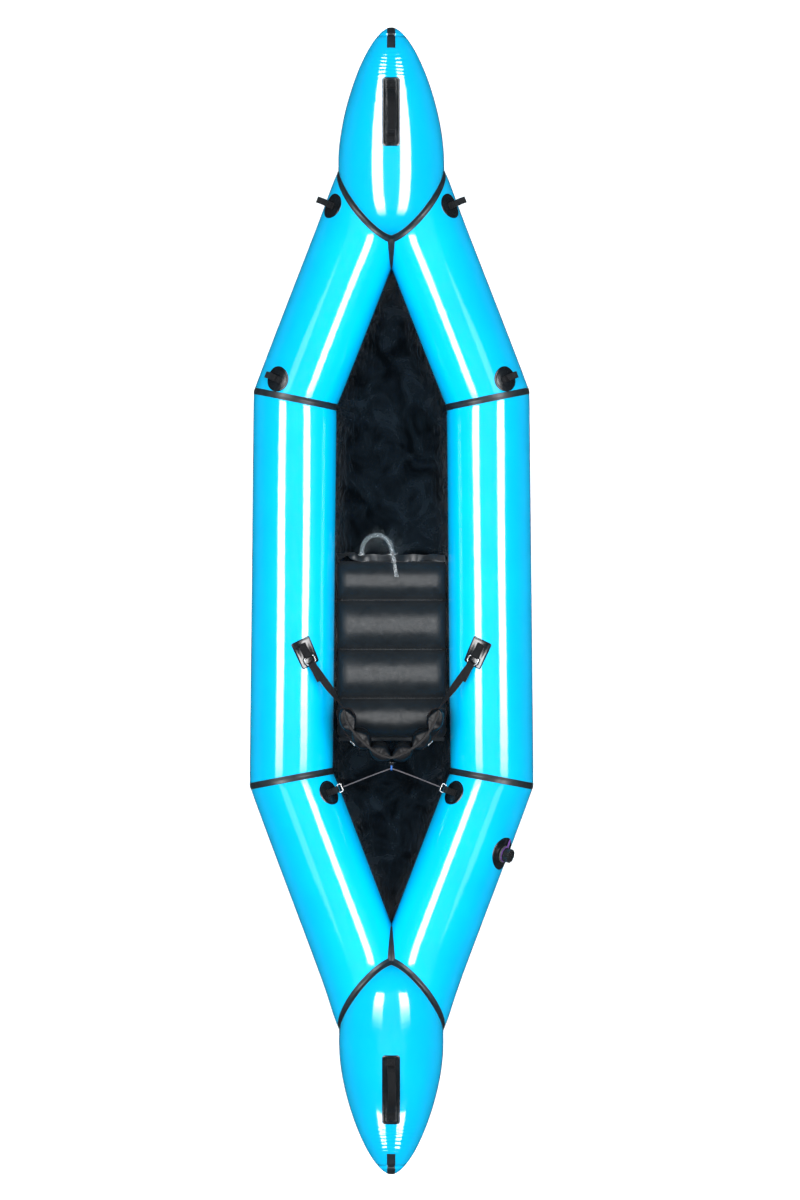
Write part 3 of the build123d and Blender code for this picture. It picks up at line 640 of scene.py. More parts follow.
def strip(name, grid, away, thick, material, body, along_uv=None):
    """A thin tape over a grid of surface points (rows along it, columns across)."""
    rows, cols = grid.shape[:2]
    normal = grid_normals(grid, away)
    edge = np.ones(cols)
    edge[0] = edge[-1] = 0.1
    top = grid + normal * (thick * edge)[None, :, None]
    length = np.cumsum(np.r_[0, np.linalg.norm(np.diff(grid[:, cols // 2], axis=0), axis=1)])
    width = np.cumsum(np.r_[0, np.linalg.norm(np.diff(grid[rows // 2], axis=0), axis=1)])
    uv = np.stack(np.meshgrid(length, width, indexing="ij"), -1).reshape(-1, 2)
    points = top.reshape(-1, 3)
    faces = grid_faces(rows, cols)
    return add_mesh(name, points, facing(points, faces, away.reshape(-1, 3)), material, body, uv)


ACROSS = np.array([-1.0, -0.97, -0.85, -0.55, -0.25, 0.0])
TAPE_HALF = 0.0107


def make_tapes():
    around = np.linspace(-pi, pi, 241)
    for name, side in SIDES.items():
        for end in (BOW, STERN):
            end_t = mitre_start(end, side, around)
            low, high = side_limits(side, around)
            back = ACROSS * TAPE_HALF
            if end is BOW:
                on_side = side_surface(side, around[:, None], high[:, None] + back[None, :])
            else:
                on_side = side_surface(side, around[:, None], low[:, None] - back[None, :])
            on_end = tube_surface(end, side, around[:, None], end_t[:, None] - back[None, ::-1][:, 1:])
            grid = np.concatenate([on_side, on_end], 1)
            away = np.repeat(side_normal(side, around)[:, None], grid.shape[1], 1)
            obj = strip(f"{name}_{end.name}_tape", grid, away, 0.0009, "tape", "hull")
            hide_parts(f"{name}_{end.name}_seam_tape")
    for end in (BOW, STERN):
        made = None
        for name, side in SIDES.items():
            seam = SEAMS[end.name, side]
            turn = np.linspace(0, pi, 181)
            theta = np.interp(turn, seam.turn, seam.theta_of)
            phi = np.interp(turn, seam.turn, seam.phi_of)
            curve = seam.middle + seam.radial(turn) * (np.interp(turn, seam.turn, seam.rho) - VALLEY)[:, None]
            tangent = unit(np.gradient(curve, axis=0))
            slope_t = np.linalg.norm(np.cross(end.along(side), tangent), axis=1)
            slope_c = np.linalg.norm(np.cross(end.u, tangent), axis=1)
            back = -ACROSS * TAPE_HALF * 1.08
            wrapped = (theta + pi) % (2 * pi) - pi
            t_end = np.interp(wrapped, seam.theta, seam.t_yoke)
            t = t_end[:, None] - back[None, :] / np.maximum(slope_t, 0.4)[:, None]
            on_tube = tube_surface(end, side, theta[:, None], t)
            s_end = np.interp(phi, seam.phi, seam.s_end)
            s = s_end[:, None] - back[None, ::-1][:, 1:] / np.maximum(slope_c, 0.4)[:, None]
            on_cone = cone_surface(end, side * np.maximum(phi, 1e-6)[:, None], s)
            grid = np.concatenate([on_tube, on_cone], 1)
            grid[..., 1] = side * np.maximum(side * grid[..., 1], 0.0)
            left, right = grid[:, 3].copy(), grid[:, 7].copy()
            for column, share in ((4, 0.25), (5, 0.5), (6, 0.75)):
                grid[:, column] = 0.45 * grid[:, column] + 0.55 * (left + (right - left) * share)
            away = np.repeat((seam.radial(turn) + end.u * 0.1)[:, None], grid.shape[1], 1)
            obj = strip(f"{end.name}_{name}_yoke_tape", grid, away, 0.0010, "tape", "hull")
            made = made or obj
        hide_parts(f"{end.name}_yoke_tape")
        stem(end)
        tip_tape(end)


def stem(end):
    """The tape down the crease between the two tubes, from the point of the V."""
    seam = SEAMS[end.name, 1]
    corner = seam.middle + seam.top * (np.interp(0, seam.turn, seam.rho) - VALLEY)
    inboard = ~seam.on_yoke & (seam.theta < 0) & (seam.theta > -pi / 2)
    theta = np.sort(seam.theta[inboard])[::-1]
    t = np.interp(theta, seam.theta, seam.t_centre)
    crease = tube_surface(end, 1, theta, t)
    order = np.argsort(np.linalg.norm(crease - corner, axis=1))
    theta, t, crease = theta[order], t[order], crease[order]
    far = np.linalg.norm(crease - corner, axis=1)
    use = far < 0.122
    rows = np.linspace(0, use.sum() - 1, 26).astype(int)
    theta, t = theta[use][rows], t[use][rows]
    arcs = np.array([0.0150, 0.0140, 0.0095, 0.0045, 0.0])[None, :] * np.linspace(1.0, 0.30, 26)[:, None] ** 0.8
    halves = []
    for side in (1, -1):
        angle = theta[:, None] + arcs / R
        reach = t[:, None] - 0.35 * arcs
        half = tube_surface(end, side, angle, reach)
        half[..., 1] = side * np.maximum(side * half[..., 1], 0)
        half[:, -1, 1] = 0
        half[:, -1] += end.w * 0.0065
        half[:, -2] += end.w * 0.0030
        halves.append(half)
    grid = np.concatenate([halves[0], halves[1][:, ::-1][:, 1:]], 1)
    away = np.broadcast_to(end.w - end.u * 0.3, grid.shape)
    strip(f"{end.name}_stem_tape", grid, away, 0.0010, "tape", "hull")


def tip_tape(end):
    s = np.concatenate([np.linspace(0.0015, 0.02, 10), np.linspace(0.021, 0.034, 16), np.linspace(0.036, 0.068, 12)])
    half = np.array([-0.0130, -0.0126, -0.009, -0.004, 0, 0.004, 0.009, 0.0126, 0.0130])
    radius = np.maximum(cone_r(s), 0.006)
    phi = np.clip(half[None, :] / radius[:, None], -1.2, 1.2)
    top = cone_surface(end, phi, s[:, None])
    away = np.broadcast_to(end.w + end.u * 0.3, top.shape)
    obj = strip(f"{end.name}_tip_tape", top, away, 0.0009, "tape", "hull")
    if end is BOW:
        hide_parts("tip_tapes")


make_tapes()

# ---------------------------------------------------------------- ribbons, patches and thread


def resample(points, count):
    points = np.asarray(points, float)
    length = np.r_[0, np.cumsum(np.linalg.norm(np.diff(points, axis=0), axis=1))]
    at = np.linspace(0, length[-1], count)
    return np.stack([np.interp(at, length, points[:, k]) for k in range(3)], -1)


def rounded(points, count=60, passes=4):
    """A line with its corners cut round, through evenly spaced points."""
    p = np.asarray(points, float)
    for _ in range(passes):
        q = np.empty((2 * len(p), 3))
        q[0], q[-1] = p[0], p[-1]
        q[1:-1:2] = 0.75 * p[:-1] + 0.25 * p[1:]
        q[2:-1:2] = 0.25 * p[:-1] + 0.75 * p[1:]
        p = q
    return resample(p, count)


def turned_about(vector, axis, angle):
    axis = unit(axis)
    return (vector * cos(angle) + np.cross(axis, vector) * sin(angle)
            + axis * ((vector * axis).sum(-1, keepdims=True)) * (1 - cos(angle)))


def ribbon(name, line, across, width, thick, material, body, edge=None, crown=0.0):
    """A strip of webbing along a line, with its width along across at each point."""
    line = np.asarray(line, float)
    across = np.broadcast_to(across, line.shape)
    along = unit(np.gradient(line, axis=0))
    across = unit(across - along * (across * along).sum(-1, keepdims=True))
    up = np.cross(along, across)
    x = np.array([-1, -0.96, -0.86, -0.5, 0, 0.5, 0.86, 0.96, 1])
    z = np.array([0.0, 0.32, 0.5, 0.5, 0.5, 0.5, 0.5, 0.32, 0.0])
    ring_x, ring_z = np.r_[x, x[-2:0:-1]], np.r_[z, -z[-2:0:-1]]
    bow = crown * (1 - ring_x**2)
    grid = (line[:, None] + across[:, None] * (ring_x * width / 2)[None, :, None]
            + up[:, None] * (ring_z * thick + bow)[None, :, None])
    rows, cols = grid.shape[:2]
    faces = grid_faces(rows, cols, wrap_cols=True)
    faces += [list(range(cols))[::-1], [(rows - 1) * cols + k for k in range(cols)]]
    length = np.r_[0, np.cumsum(np.linalg.norm(np.diff(line, axis=0), axis=1))]
    uv = np.stack([np.repeat(length, cols), np.tile(ring_x * width / 2, rows)], -1)
    faces = [f[::-1] for f in faces]
    obj = add_mesh(name, grid.reshape(-1, 3), faces, material, body, uv)
    if edge:
        obj.data.materials.append(M[edge])
        for polygon in obj.data.polygons[: (rows - 1) * cols]:
            if abs(ring_x[polygon.index % cols]) + abs(ring_x[(polygon.index + 1) % cols]) > 1.7:
                polygon.material_index = 1
    return obj


def edge_lift(d, thick, rim):
    """Height of a glued patch at distance d inside its edge, with a slightly raised rim."""
    return np.where(d <= 1e-6, -0.0006, thick * np.clip(d / 0.0006, 0, 1) ** 0.5
                    + rim * np.exp(-(((d - 0.0036) / 0.0017) ** 2)))


def rectangle_patch(name, surface, length, width, corner, thick, rim, material, body, base=0.0):
    """A patch with round corners on a surface; surface(a, b, lift) gives points from its middle."""
    ends = np.array([0, 0.0004, 0.0016, 0.003, 0.0045, 0.006, 0.008])
    a = np.r_[-length / 2 + ends, np.linspace(-length / 2 + 0.011, length / 2 - 0.011, max(int(length / 0.004), 6)),
              (length / 2 - ends)[::-1]]
    past = np.maximum(np.abs(a) - (length / 2 - corner), 0)
    half = width / 2 - corner + np.sqrt(np.maximum(corner**2 - past**2, 0))
    inner = np.linspace(-1, 1, max(int(width / 0.004), 6))[1:-1] * 0.72
    v = np.r_[-1, -0.985, -0.94, -0.88, -0.8, inner, 0.8, 0.88, 0.94, 0.985, 1]
    aa, bb = a[:, None] + 0 * v[None, :], half[:, None] * v[None, :]
    qx, qy = np.abs(aa) - (length / 2 - corner), np.abs(bb) - (width / 2 - corner)
    d = -(np.hypot(np.maximum(qx, 0), np.maximum(qy, 0)) + np.minimum(np.maximum(qx, qy), 0) - corner)
    d[[0, -1]] = 0
    d[:, [0, -1]] = 0
    grid = surface(aa, bb, base + edge_lift(np.maximum(d, 0), thick, rim))
    away = surface(aa, bb, base + 0.02) - surface(aa, bb, base)
    faces = grid_faces(*grid.shape[:2])
    faces = facing(grid.reshape(-1, 3), faces, away.reshape(-1, 3))
    uv = np.stack([aa, bb], -1).reshape(-1, 2)
    return add_mesh(name, grid.reshape(-1, 3), faces, material, body, uv)


def round_patch(name, surface, radius, thick, rim, material, body, hole=0.0, ribs=0.0):
    turns = np.linspace(0, 2 * pi, 216, endpoint=False)
    outer = radius - np.array([0, 0.0004, 0.001, 0.002, 0.003, 0.004, 0.0052, 0.0068, 0.009])
    r = np.r_[outer, np.linspace(radius - 0.012, max(hole, 0.002), 8)]
    rr, tt = r[:, None] + 0 * turns[None, :], turns[None, :] + 0 * r[:, None]
    d = radius - rr
    lift = edge_lift(d, thick, rim)
    lift = lift + ribs * (0.5 + 0.5 * np.cos(54 * tt)) * np.exp(-(((d - 0.0045) / 0.003) ** 4)) * (d > 0)
    wave = 0.0003 * np.sin(3 * tt + 1.3) * (rr / radius) ** 2
    grid = surface(rr * np.cos(tt), rr * np.sin(tt), lift + np.where(d > 0, wave, 0))
    away = surface(rr * np.cos(tt), rr * np.sin(tt), 0.02) - surface(rr * np.cos(tt), rr * np.sin(tt), 0.0)
    faces = grid_faces(*grid.shape[:2], wrap_cols=True)
    points, away = grid.reshape(-1, 3), away.reshape(-1, 3)
    if not hole:
        cols = len(turns)
        start = (len(r) - 1) * cols
        faces = faces + [[start + k, start + (k + 1) % cols, len(points)] for k in range(cols)]
        points = np.vstack([points, grid[-1].mean(0)])
        away = np.vstack([away, away[-1]])
    uv = np.stack([rr * np.cos(tt), rr * np.sin(tt)], -1).reshape(-1, 2)
    if not hole:
        uv = np.vstack([uv, [0, 0]])
    return add_mesh(name, points, facing(points, faces, away), material, body, uv)


def stitches(name, lines, body, pitch=0.0032, length=0.0022, wide=0.0008, high=0.0005):
    """Rows of thread stitches; lines are (points, normal at each point)."""
    points, faces = [], []
    for line, normal in lines:
        line = np.asarray(line, float)
        normal = np.broadcast_to(normal, line.shape)
        run = np.r_[0, np.cumsum(np.linalg.norm(np.diff(line, axis=0), axis=1))]
        for k in range(max(int(run[-1] / pitch), 1)):
            at = np.array([0, 0.18, 0.82, 1]) * length + k * pitch
            place = np.stack([np.interp(at, run, line[:, c]) for c in range(3)], -1)
            up = unit(np.array([np.interp(at[1], run, normal[:, c]) for c in range(3)]))
            ahead = unit(place[-1] - place[0] + 1e-9)
            side = np.cross(up, ahead)
            start = len(points)
            for p, grow in zip(place, (0.3, 1, 1, 0.3)):
                for c, s in ((0, 1), (1, 0.5), (1, -0.5), (0, -1)):
                    points.append(p + side * s * wide / 2 * grow + up * (c * high * grow - 0.0002))
            for q in range(3):
                for m in range(3):
                    a = start + 4 * q + m
                    faces.append([a, a + 1, a + 5, a + 4])
            faces += [[start, start + 1, start + 2, start + 3][::-1], [start + 12, start + 13, start + 14, start + 15]]
    return add_mesh(name, points, faces, "thread", body)


def box_stitch(surface, a0, a1, b0, b1, lift):
    """The lines of a sewn box with a cross in it, on a surface."""
    n = 24
    corners = [(a0, b0), (a1, b0), (a1, b1), (a0, b1), (a0, b0)]
    runs = [*zip(corners, corners[1:]), ((a0, b0), (a1, b1)), ((a0, b1), (a1, b0))]
    lines = []
    for (p, q), (r, s) in runs:
        a, b = np.linspace(p, r, n), np.linspace(q, s, n)
        line = surface(a, b, lift + 0 * a)
        lines.append((line, unit(surface(a, b, lift + 0.01 + 0 * a) - line)))
    return lines


def on_tube(end, side, t0, theta0):
    return lambda a, b, lift=0.0: tube_surface(end, side, theta0 + b / R, t0 + a, lift)


def on_cone(end, s0, b0=0.0):
    return lambda a, b, lift=0.0: cone_surface(end, (b + b0) / cone_r(s0 + a), s0 + a, lift)


# ---------------------------------------------------------------- tie-down points

TIES = {
    "bow": (BOW, 0.609, radians(56), radians(76), 0.040),
    "shoulder": (BOW, 0.050, radians(33), radians(91), 0.034),
    "rear": (STERN, 0.096, radians(-48), radians(-83), 0.024),
}


def make_ties():
    for name, side in SIDES.items():
        for place, (end, t, theta, theta_out, length) in TIES.items():
            seat = on_tube(end, side, t, theta)
            key = f"{name}_{place}"
            patch = round_patch(f"{key}_disc", seat, 0.040, 0.0015, 0.0006, "patch", "hull")
            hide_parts(f"{key}_patch")
            along, up = end.along(side), end.normal(side, theta)
            around = unit(end.normal(side, theta + 0.01) - up)
            base = end.start(side) + along * t
            pivot = base + up * (R + 0.012)
            out = end.normal(side, theta_out)
            flat = np.cross(along, out)
            # two sewn feet rise from the patch to just under the loop's fold
            for k, turn in enumerate((1, -1)):
                foot = [base + up * (R + 0.0028) + around * turn * 0.016,
                        base + up * (R + 0.0026) + around * turn * 0.006,
                        base + up * (R + 0.0030) + around * turn * 0.0012,
                        pivot - up * 0.004 + around * turn * 0.0009,
                        pivot - up * 0.0008 + around * turn * 0.0009]
                ribbon(f"{key}_foot_{k}", rounded(foot, 40), along, 0.020, 0.0016, "webbing", "hull")
            lines = []
            for turn in (1, -1):
                lines += box_stitch(seat, -0.008, 0.008, turn * 0.0075, turn * 0.0145, 0.0034)
            stitches(f"{key}_stitches", lines, "hull")
            x = np.linspace(0.0004, length - 0.009, 24)
            share = np.clip(x / (0.6 * length), 0, 1)
            half = 0.0009 + 0.0070 * share**2 * (3 - 2 * share)
            tip = np.linspace(0, pi, 22)[1:-1]
            r_tip = half[-1]
            px = np.r_[x, length - 0.009 + 0.0075 * np.sin(tip), x[::-1]]
            py = np.r_[-half, -r_tip * np.cos(tip), half[::-1]]
            line = pivot + out * px[:, None] + flat * py[:, None]
            line = line + along * (0.0012 * np.sin(px / length * 3))[:, None]
            loop = ribbon(f"{key}_webbing", line, along, 0.020, 0.0016, "webbing", f"{key}_loop")
            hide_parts(f"{key}_loop")


# ---------------------------------------------------------------- carrying handles


def make_handle(end):
    surface = on_cone(end, 0.260)
    patch = rectangle_patch(f"{end.name}_handle_base", surface, 0.205, 0.055, 0.009, 0.0015, 0.0013,
                            "patch", "hull")
    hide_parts(f"{end.name}_handle_patch")
    near, far, arch, pivot = 0.191, 0.331, 0.030, 0.0111

    def top(s, lift):
        return end.at(end.tip_u - s, 0, CONE_W + cone_r(s) + lift)

    p, q = top(near, pivot), top(far, pivot)
    span = np.linalg.norm(q - p)
    along = unit(q - p)
    up = unit(np.cross(vec(0, 1, 0), along))
    up = up * np.sign(up @ end.w)
    radius = (span**2 / 4 + arch**2) / (2 * arch)
    x = np.linspace(0, span, 61)
    y = arch - radius + np.sqrt(radius**2 - (x - span / 2) ** 2)
    curve = p + along * x[:, None] + up * y[:, None]
    lean = vec(0, -0.0035, 0) * np.sin(pi * x / span)[:, None]
    curve = curve + lean
    first, last, width = 5, 55, WEBBING_WIDE
    grip = ribbon(f"{end.name}_grip", curve[first:last + 1], vec(0, 1, 0), width, 0.0022, "webbing",
                  f"{end.name}_handle", crown=0.0012)
    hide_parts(f"{end.name}_handle")
    lines = []
    for k, (s_out, s_in, at, way) in enumerate(((0.179, 0.187, first, 1), (0.343, 0.335, last, -1))):
        line = [top(s_out, 0.0031), top(s_in, 0.0031), top(s_in + way * 0.004, 0.0040), curve[at - way * 3],
                curve[at], curve[at + way]]
        neck = ribbon(f"{end.name}_neck_{k}", rounded(line, 50, 3), vec(0, 1, 0), width, 0.0022, "webbing",
                      None, crown=0.0006)
        tuple(top(s_in, 0.003))
        tuple(curve[at])
        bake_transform(neck)
        if k == 0 and end is BOW:
            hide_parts("handle_ends")
        middle = (s_out + s_in) / 2 - way * 0.001
        flap = rectangle_patch(f"{end.name}_sewn_{k}", on_cone(end, middle), 0.026, width + 0.001, 0.002, 0.0022, 0.0,
                               "webbing", "hull", 0.0019)
        lines += box_stitch(on_cone(end, middle), -0.011, 0.011, -0.0105, 0.0105, 0.0042)
    stitches(f"{end.name}_handle_stitches", lines, "hull")


make_ties()
for one in (BOW, STERN):
    make_handle(one)

# ---------------------------------------------------------------- strap anchors and straps

STRAP_X, STRAP_ANGLE, STRAP_TURN = -0.166, radians(-21.5), radians(26)


def make_anchor(name, side):
    mirror = vec(1, side, 1)
    t0 = (STRAP_X + 0.577) / side_along(side)[0]

    def surface(a, b, lift=0.0):
        x = -a * cos(STRAP_TURN) + b * sin(STRAP_TURN)
        arc = -a * sin(STRAP_TURN) - b * cos(STRAP_TURN)
        return side_surface(side, STRAP_ANGLE + arc / R, t0 + x, lift)

    patch = rectangle_patch(f"{name}_anchor_patch", surface, 0.090, 0.064, 0.006, 0.0015, 0.0007,
                            "patch", "hull")
    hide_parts(f"{name}_strap_patch")
    eye = vec(-0.178641, 0.262069, 0.266090)
    across = vec(0.42982, -0.84009, -0.33092)
    forward = unit(vec(-0.20394, 0.24917, 0.26597) - eye)
    up = np.cross(forward, across)
    seat_up = unit(surface(0.014, 0.0, 0.01) - surface(0.014, 0.0, 0.0)) * mirror
    back = unit(surface(-0.02, 0.0, 0.0) - surface(0.014, 0.0, 0.0)) * mirror
    low = surface(-0.030, 0.0, 0.0026) * mirror
    over = [surface(-0.0310, 0.0, 0.0030) * mirror, surface(-0.016, 0.0, 0.0032) * mirror,
            surface(-0.004, 0.0, 0.0044) * mirror, eye + seat_up * 0.0048 + back * 0.003, eye + seat_up * 0.0042,
            eye - back * 0.0046, eye - seat_up * 0.0040, surface(0.006, 0.0, 0.0024) * mirror,
            surface(-0.012, 0.0, 0.0018) * mirror]
    line = rounded(over, 80, 3) * mirror
    webbing = ribbon(f"{name}_anchor_webbing", line, across * mirror, WEBBING_WIDE, 0.0018,
                     "webbing", "hull")
    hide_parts(f"{name}_strap_webbing")
    stitches(f"{name}_anchor_stitches",
             box_stitch(surface, -0.028, -0.012, -0.0095, 0.0095, 0.0043)
             + box_stitch(surface, -0.010, -0.004, -0.0095, 0.0095, 0.0052)[:3], "hull")

    def at(f, u):
        return eye + forward * f + up * u

    tip = vec(-0.3425, 0.149, 0.256)
    start = at(0.0284, 0)
    run = unit(tip - start)
    turn_at = 0.024
    line = [at(0.085, 0.0024), at(0.060, 0.0025), at(0.034, 0.0031), at(turn_at + 0.001, 0.0040),
            at(turn_at - 0.0042, 0), at(turn_at + 0.001, -0.0040), at(0.034, -0.0012), start + run * 0.022,
            start + run * 0.08, tip - run * 0.01, tip + run * 0.003]
    line = rounded(line, 130, 3)
    gone = np.clip(((line - start) @ run) / ((tip - start) @ run), 0, 1)
    length = np.r_[0, np.cumsum(np.linalg.norm(np.diff(line, axis=0), axis=1))]
    gone = np.where(length < 0.075, 0, np.clip((gone - 0.42) / 0.57, 0, 1))
    gone = gone**2 * (3 - 2 * gone)
    upright = vec(0, 0, 1) - run * run[2]
    flat = across - run * (across @ run)
    turned = (gone * pi / 2)[:, None]
    facing_ways = unit(flat)[None, :] * np.cos(turned) - unit(upright)[None, :] * np.sin(turned)
    # the loose tail lies on the strap, so it turns with it
    strap = ribbon(f"{name}_strap", line * mirror, facing_ways * mirror, WEBBING_WIDE, 0.0016, "strap", None,
                   edge="strap_edge")
    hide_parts(f"{name}_backrest_strap")
    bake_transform(strap)


for name, side in SIDES.items():
    make_anchor(name, side)

# ---------------------------------------------------------------- cushions


def pillow(name, place, marks, edge_of, high, cells, rows, material, body, node, grow, cap,
           frames=20, roundness=0.5, sides=9):
    """Chambers side by side: place(a, b, off) gives points, marks are the seams' places along a."""
    a = np.unique(np.concatenate([np.linspace(p, q, cells + 1) for p, q in zip(marks, marks[1:])]).round(7))
    seam = np.array([min(abs(x - m) for m in marks) < 1e-6 for x in a])
    v = np.linspace(-1, 1, rows + 1)
    v = np.sign(v) * np.abs(v) ** 0.9
    upper, lower = -np.ones((len(a), len(v)), int), -np.ones((len(a), len(v)), int)
    points, pinned = [], []
    for i, x in enumerate(a):
        k = min(np.searchsorted(np.array(sorted(marks)), x, side="right"), len(marks) - 1)
        p, q = sorted(marks)[k - 1], sorted(marks)[k]
        f = 2 * (x - p) / (q - p) - 1
        low, up = edge_of(x)
        for j, w in enumerate(v):
            b = (low + up) / 2 + w * (up - low) / 2
            rise = 0.0 if seam[i] else high * max(1 - f * f, 0) ** roundness * max(1 - abs(w) ** sides, 0) ** 0.5
            closed = rise < 1e-6
            upper[i, j] = len(points)
            points.append(place(x, b, rise))
            pinned.append(closed and (seam[i] or body == "backrest"))
            if closed:
                lower[i, j] = upper[i, j]
            else:
                lower[i, j] = len(points)
                points.append(place(x, b, -rise))
                pinned.append(False)
    faces = []
    for i in range(len(a) - 1):
        for j in range(len(v) - 1):
            for table, flip in ((upper, False), (lower, True)):
                face = [table[i, j], table[i + 1, j], table[i + 1, j + 1], table[i, j + 1]]
                faces.append([int(t) for t in (face[::-1] if flip else face)])
    points = np.array(points)
    mid_i, mid_j = cells // 2, len(v) // 2
    x, b = a[mid_i], sum(edge_of(a[mid_i])) / 2
    away = place(x, b, 0.01) - place(x, b, 0.0)
    p = points[[upper[mid_i, mid_j], upper[mid_i + 1, mid_j], upper[mid_i + 1, mid_j + 1]]]
    if np.cross(p[1] - p[0], p[2] - p[0]) @ away < 0:
        faces = [f[::-1] for f in faces]
    obj = add_mesh(name, points, faces, material, body)
    for one in ([node] if isinstance(node, str) else node):
        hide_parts(one)
    group = obj.vertex_groups.new(name="seams")
    group.add([k for k, held in enumerate(pinned) if held], 1.0, "REPLACE")
    cloth = obj.modifiers.new("inflate", "CLOTH")
    s = cloth.settings
    s.quality, s.mass = 6, 0.25
    s.tension_stiffness = s.compression_stiffness = 30
    s.shear_stiffness, s.bending_stiffness = 12, 1.5
    s.use_pressure, s.uniform_pressure_force = True, 4
    s.shrink_min = -grow
    s.vertex_group_mass = "seams"
    s.effector_weights.gravity = 0
    cloth.collision_settings.use_collision = False
    cloth.point_cache.frame_start, cloth.point_cache.frame_end = 1, frames
    scene = bpy.context.scene
    for frame_number in range(1, frames + 1):
        scene.frame_set(frame_number)
    done = obj.evaluated_get(bpy.context.evaluated_depsgraph_get())
    moved = np.empty(len(points) * 3)
    done.data.vertices.foreach_get("co", moved)
    obj.modifiers.remove(cloth)
    obj.vertex_groups.clear()
    scene.frame_set(1)
    step = moved.reshape(-1, 3) - points
    if body == "hull":
        # the simulated movement counts in full near the seat's sides and by a fifth in its middle
        to_side = np.clip((np.abs(points[:, 1:2]) - 0.120) / 0.050, 0, 1)
        step = step * (0.20 + 0.80 * to_side**2 * (3 - 2 * to_side))
    size = np.linalg.norm(step, axis=1, keepdims=True)
    points = points + step * np.minimum(1, cap / np.maximum(size, 1e-9))
    return obj, points, upper, lower, a, v


def settle(obj, points):
    obj.data.vertices.foreach_set("co", np.asarray(points, np.float32).ravel())
    obj.data.update()
    smooth = obj.modifiers.new("smooth", "SUBSURF")
    smooth.levels = smooth.render_levels = 1
    data = bpy.data.meshes.new_from_object(obj.evaluated_get(bpy.context.evaluated_depsgraph_get()))
    obj.modifiers.remove(smooth)
    old, obj.data = obj.data, data
    bpy.data.meshes.remove(old)
    obj.data.shade_smooth()


def make_seat():
    middle = 0.046

    def place(x, y, off):
        return vec(x, y, middle + off * (1.0 if off > 0 else 0.97))

    def edge_of(x):
        corner = 0.016 * (np.clip((abs(x + 0.162) - 0.262) / 0.03, 0, 1)) ** 2
        return -0.181 + corner, 0.181 - corner

    marks = [-0.452, -0.322, -0.162, 0.0, 0.128]
    obj, points, *_ = pillow("seat_pad", place, marks, edge_of, 0.0395, 30, 72, "seat", "hull",
                             "seat_cushion", 0.018, 0.022, roundness=0.68, sides=14)
    # it rests on the floor, and the welded lines draw it in sharply
    points[:, 2] = np.where(points[:, 2] < 0.0065, 0.0065 - 0.0025 * (1 - np.exp(-(0.0065 - points[:, 2]) / 0.004)),
                            points[:, 2])
    crown = 0.083
    rounded_off = crown + 0.012 * (1 - np.exp(-(points[:, 2] - crown) / 0.012))
    points[:, 2] = np.where(points[:, 2] > crown, rounded_off, points[:, 2])
    settle(obj, points)
    y = np.linspace(-0.176, 0.178, 90)
    corner = np.exp(-(((y - 0.150) / 0.026) ** 2))
    wave = 0.0020 * np.sin(y * 60) + 0.0016 * np.sin(y * 143 + 1)
    x = 0.1375 + 0.013 * corner + 0.0015 * np.sin(y * 95 + 2)
    z = middle + 0.001 + wave + 0.011 * corner
    line = np.stack([x, y, z], -1)
    lean = 1.1 * corner + 0.35 * np.sin(y * 43) + 0.2 * np.sin(y * 97 + 0.6)
    across = np.stack([np.cos(lean), 0.25 * corner, np.sin(lean)], -1)
    ribbon("seat_front_flange", line, across, 0.025, 0.0016, "seat", "hull")
    y = np.linspace(-0.174, 0.174, 70)
    line = np.stack([-0.457 + 0 * y, y, middle + 0.0012 * np.sin(y * 55)], -1)
    ribbon("seat_rear_flange", line, vec(1, 0, 0), 0.012, 0.0016, "seat", "hull")
    for k, at in enumerate(marks[1:-1]):
        y = np.linspace(-0.165, 0.165, 80)
        line = np.stack([at + 0.0006 * np.sin(y * 90), y, middle + 0.0012 + 0 * y], -1)
        ribbon(f"seat_weld_{k}", line, vec(1, 0, 0), 0.007, 0.0014, "seat", "hull")


BACK_X, BACK_R = -0.345, 0.149
BACK_BEND = np.linspace(-pi / 2, pi / 2, 2001)
BACK_ROUND = 1.30


def back_curve(bend):
    """The backrest's plan: a bow with straighter wings than a circle, and its outward direction."""
    c, s = np.abs(np.cos(bend)), np.abs(np.sin(bend))
    plan = np.stack([BACK_X - BACK_R * c**BACK_ROUND, BACK_R * np.sign(bend) * s**BACK_ROUND], -1)
    power = 2 - BACK_ROUND
    return plan, unit(np.stack([-(c**power), np.sign(bend) * s**power], -1) + 1e-12)


BACK_RUN = np.r_[0, np.cumsum(np.linalg.norm(np.diff(back_curve(BACK_BEND)[0], axis=0), axis=1))]
BACK_RUN = BACK_RUN / BACK_RUN[-1] * pi - pi / 2


def on_back(turn, z, off=0.0):
    """A point of the backrest's middle band; turn from its middle towards port, even along its length."""
    plan, out = back_curve(np.interp(turn, BACK_RUN, BACK_BEND))
    xy = plan + out * np.asarray(off, float)[..., None]
    return np.concatenate([xy, np.broadcast_to(np.asarray(z, float), xy.shape[:-1])[..., None]], -1)


def back_low(turn):
    x = on_back(turn, 0.0)[..., 0]
    return 0.101 + 0.088 * np.clip((x + 0.470) / 0.125, 0, 1)


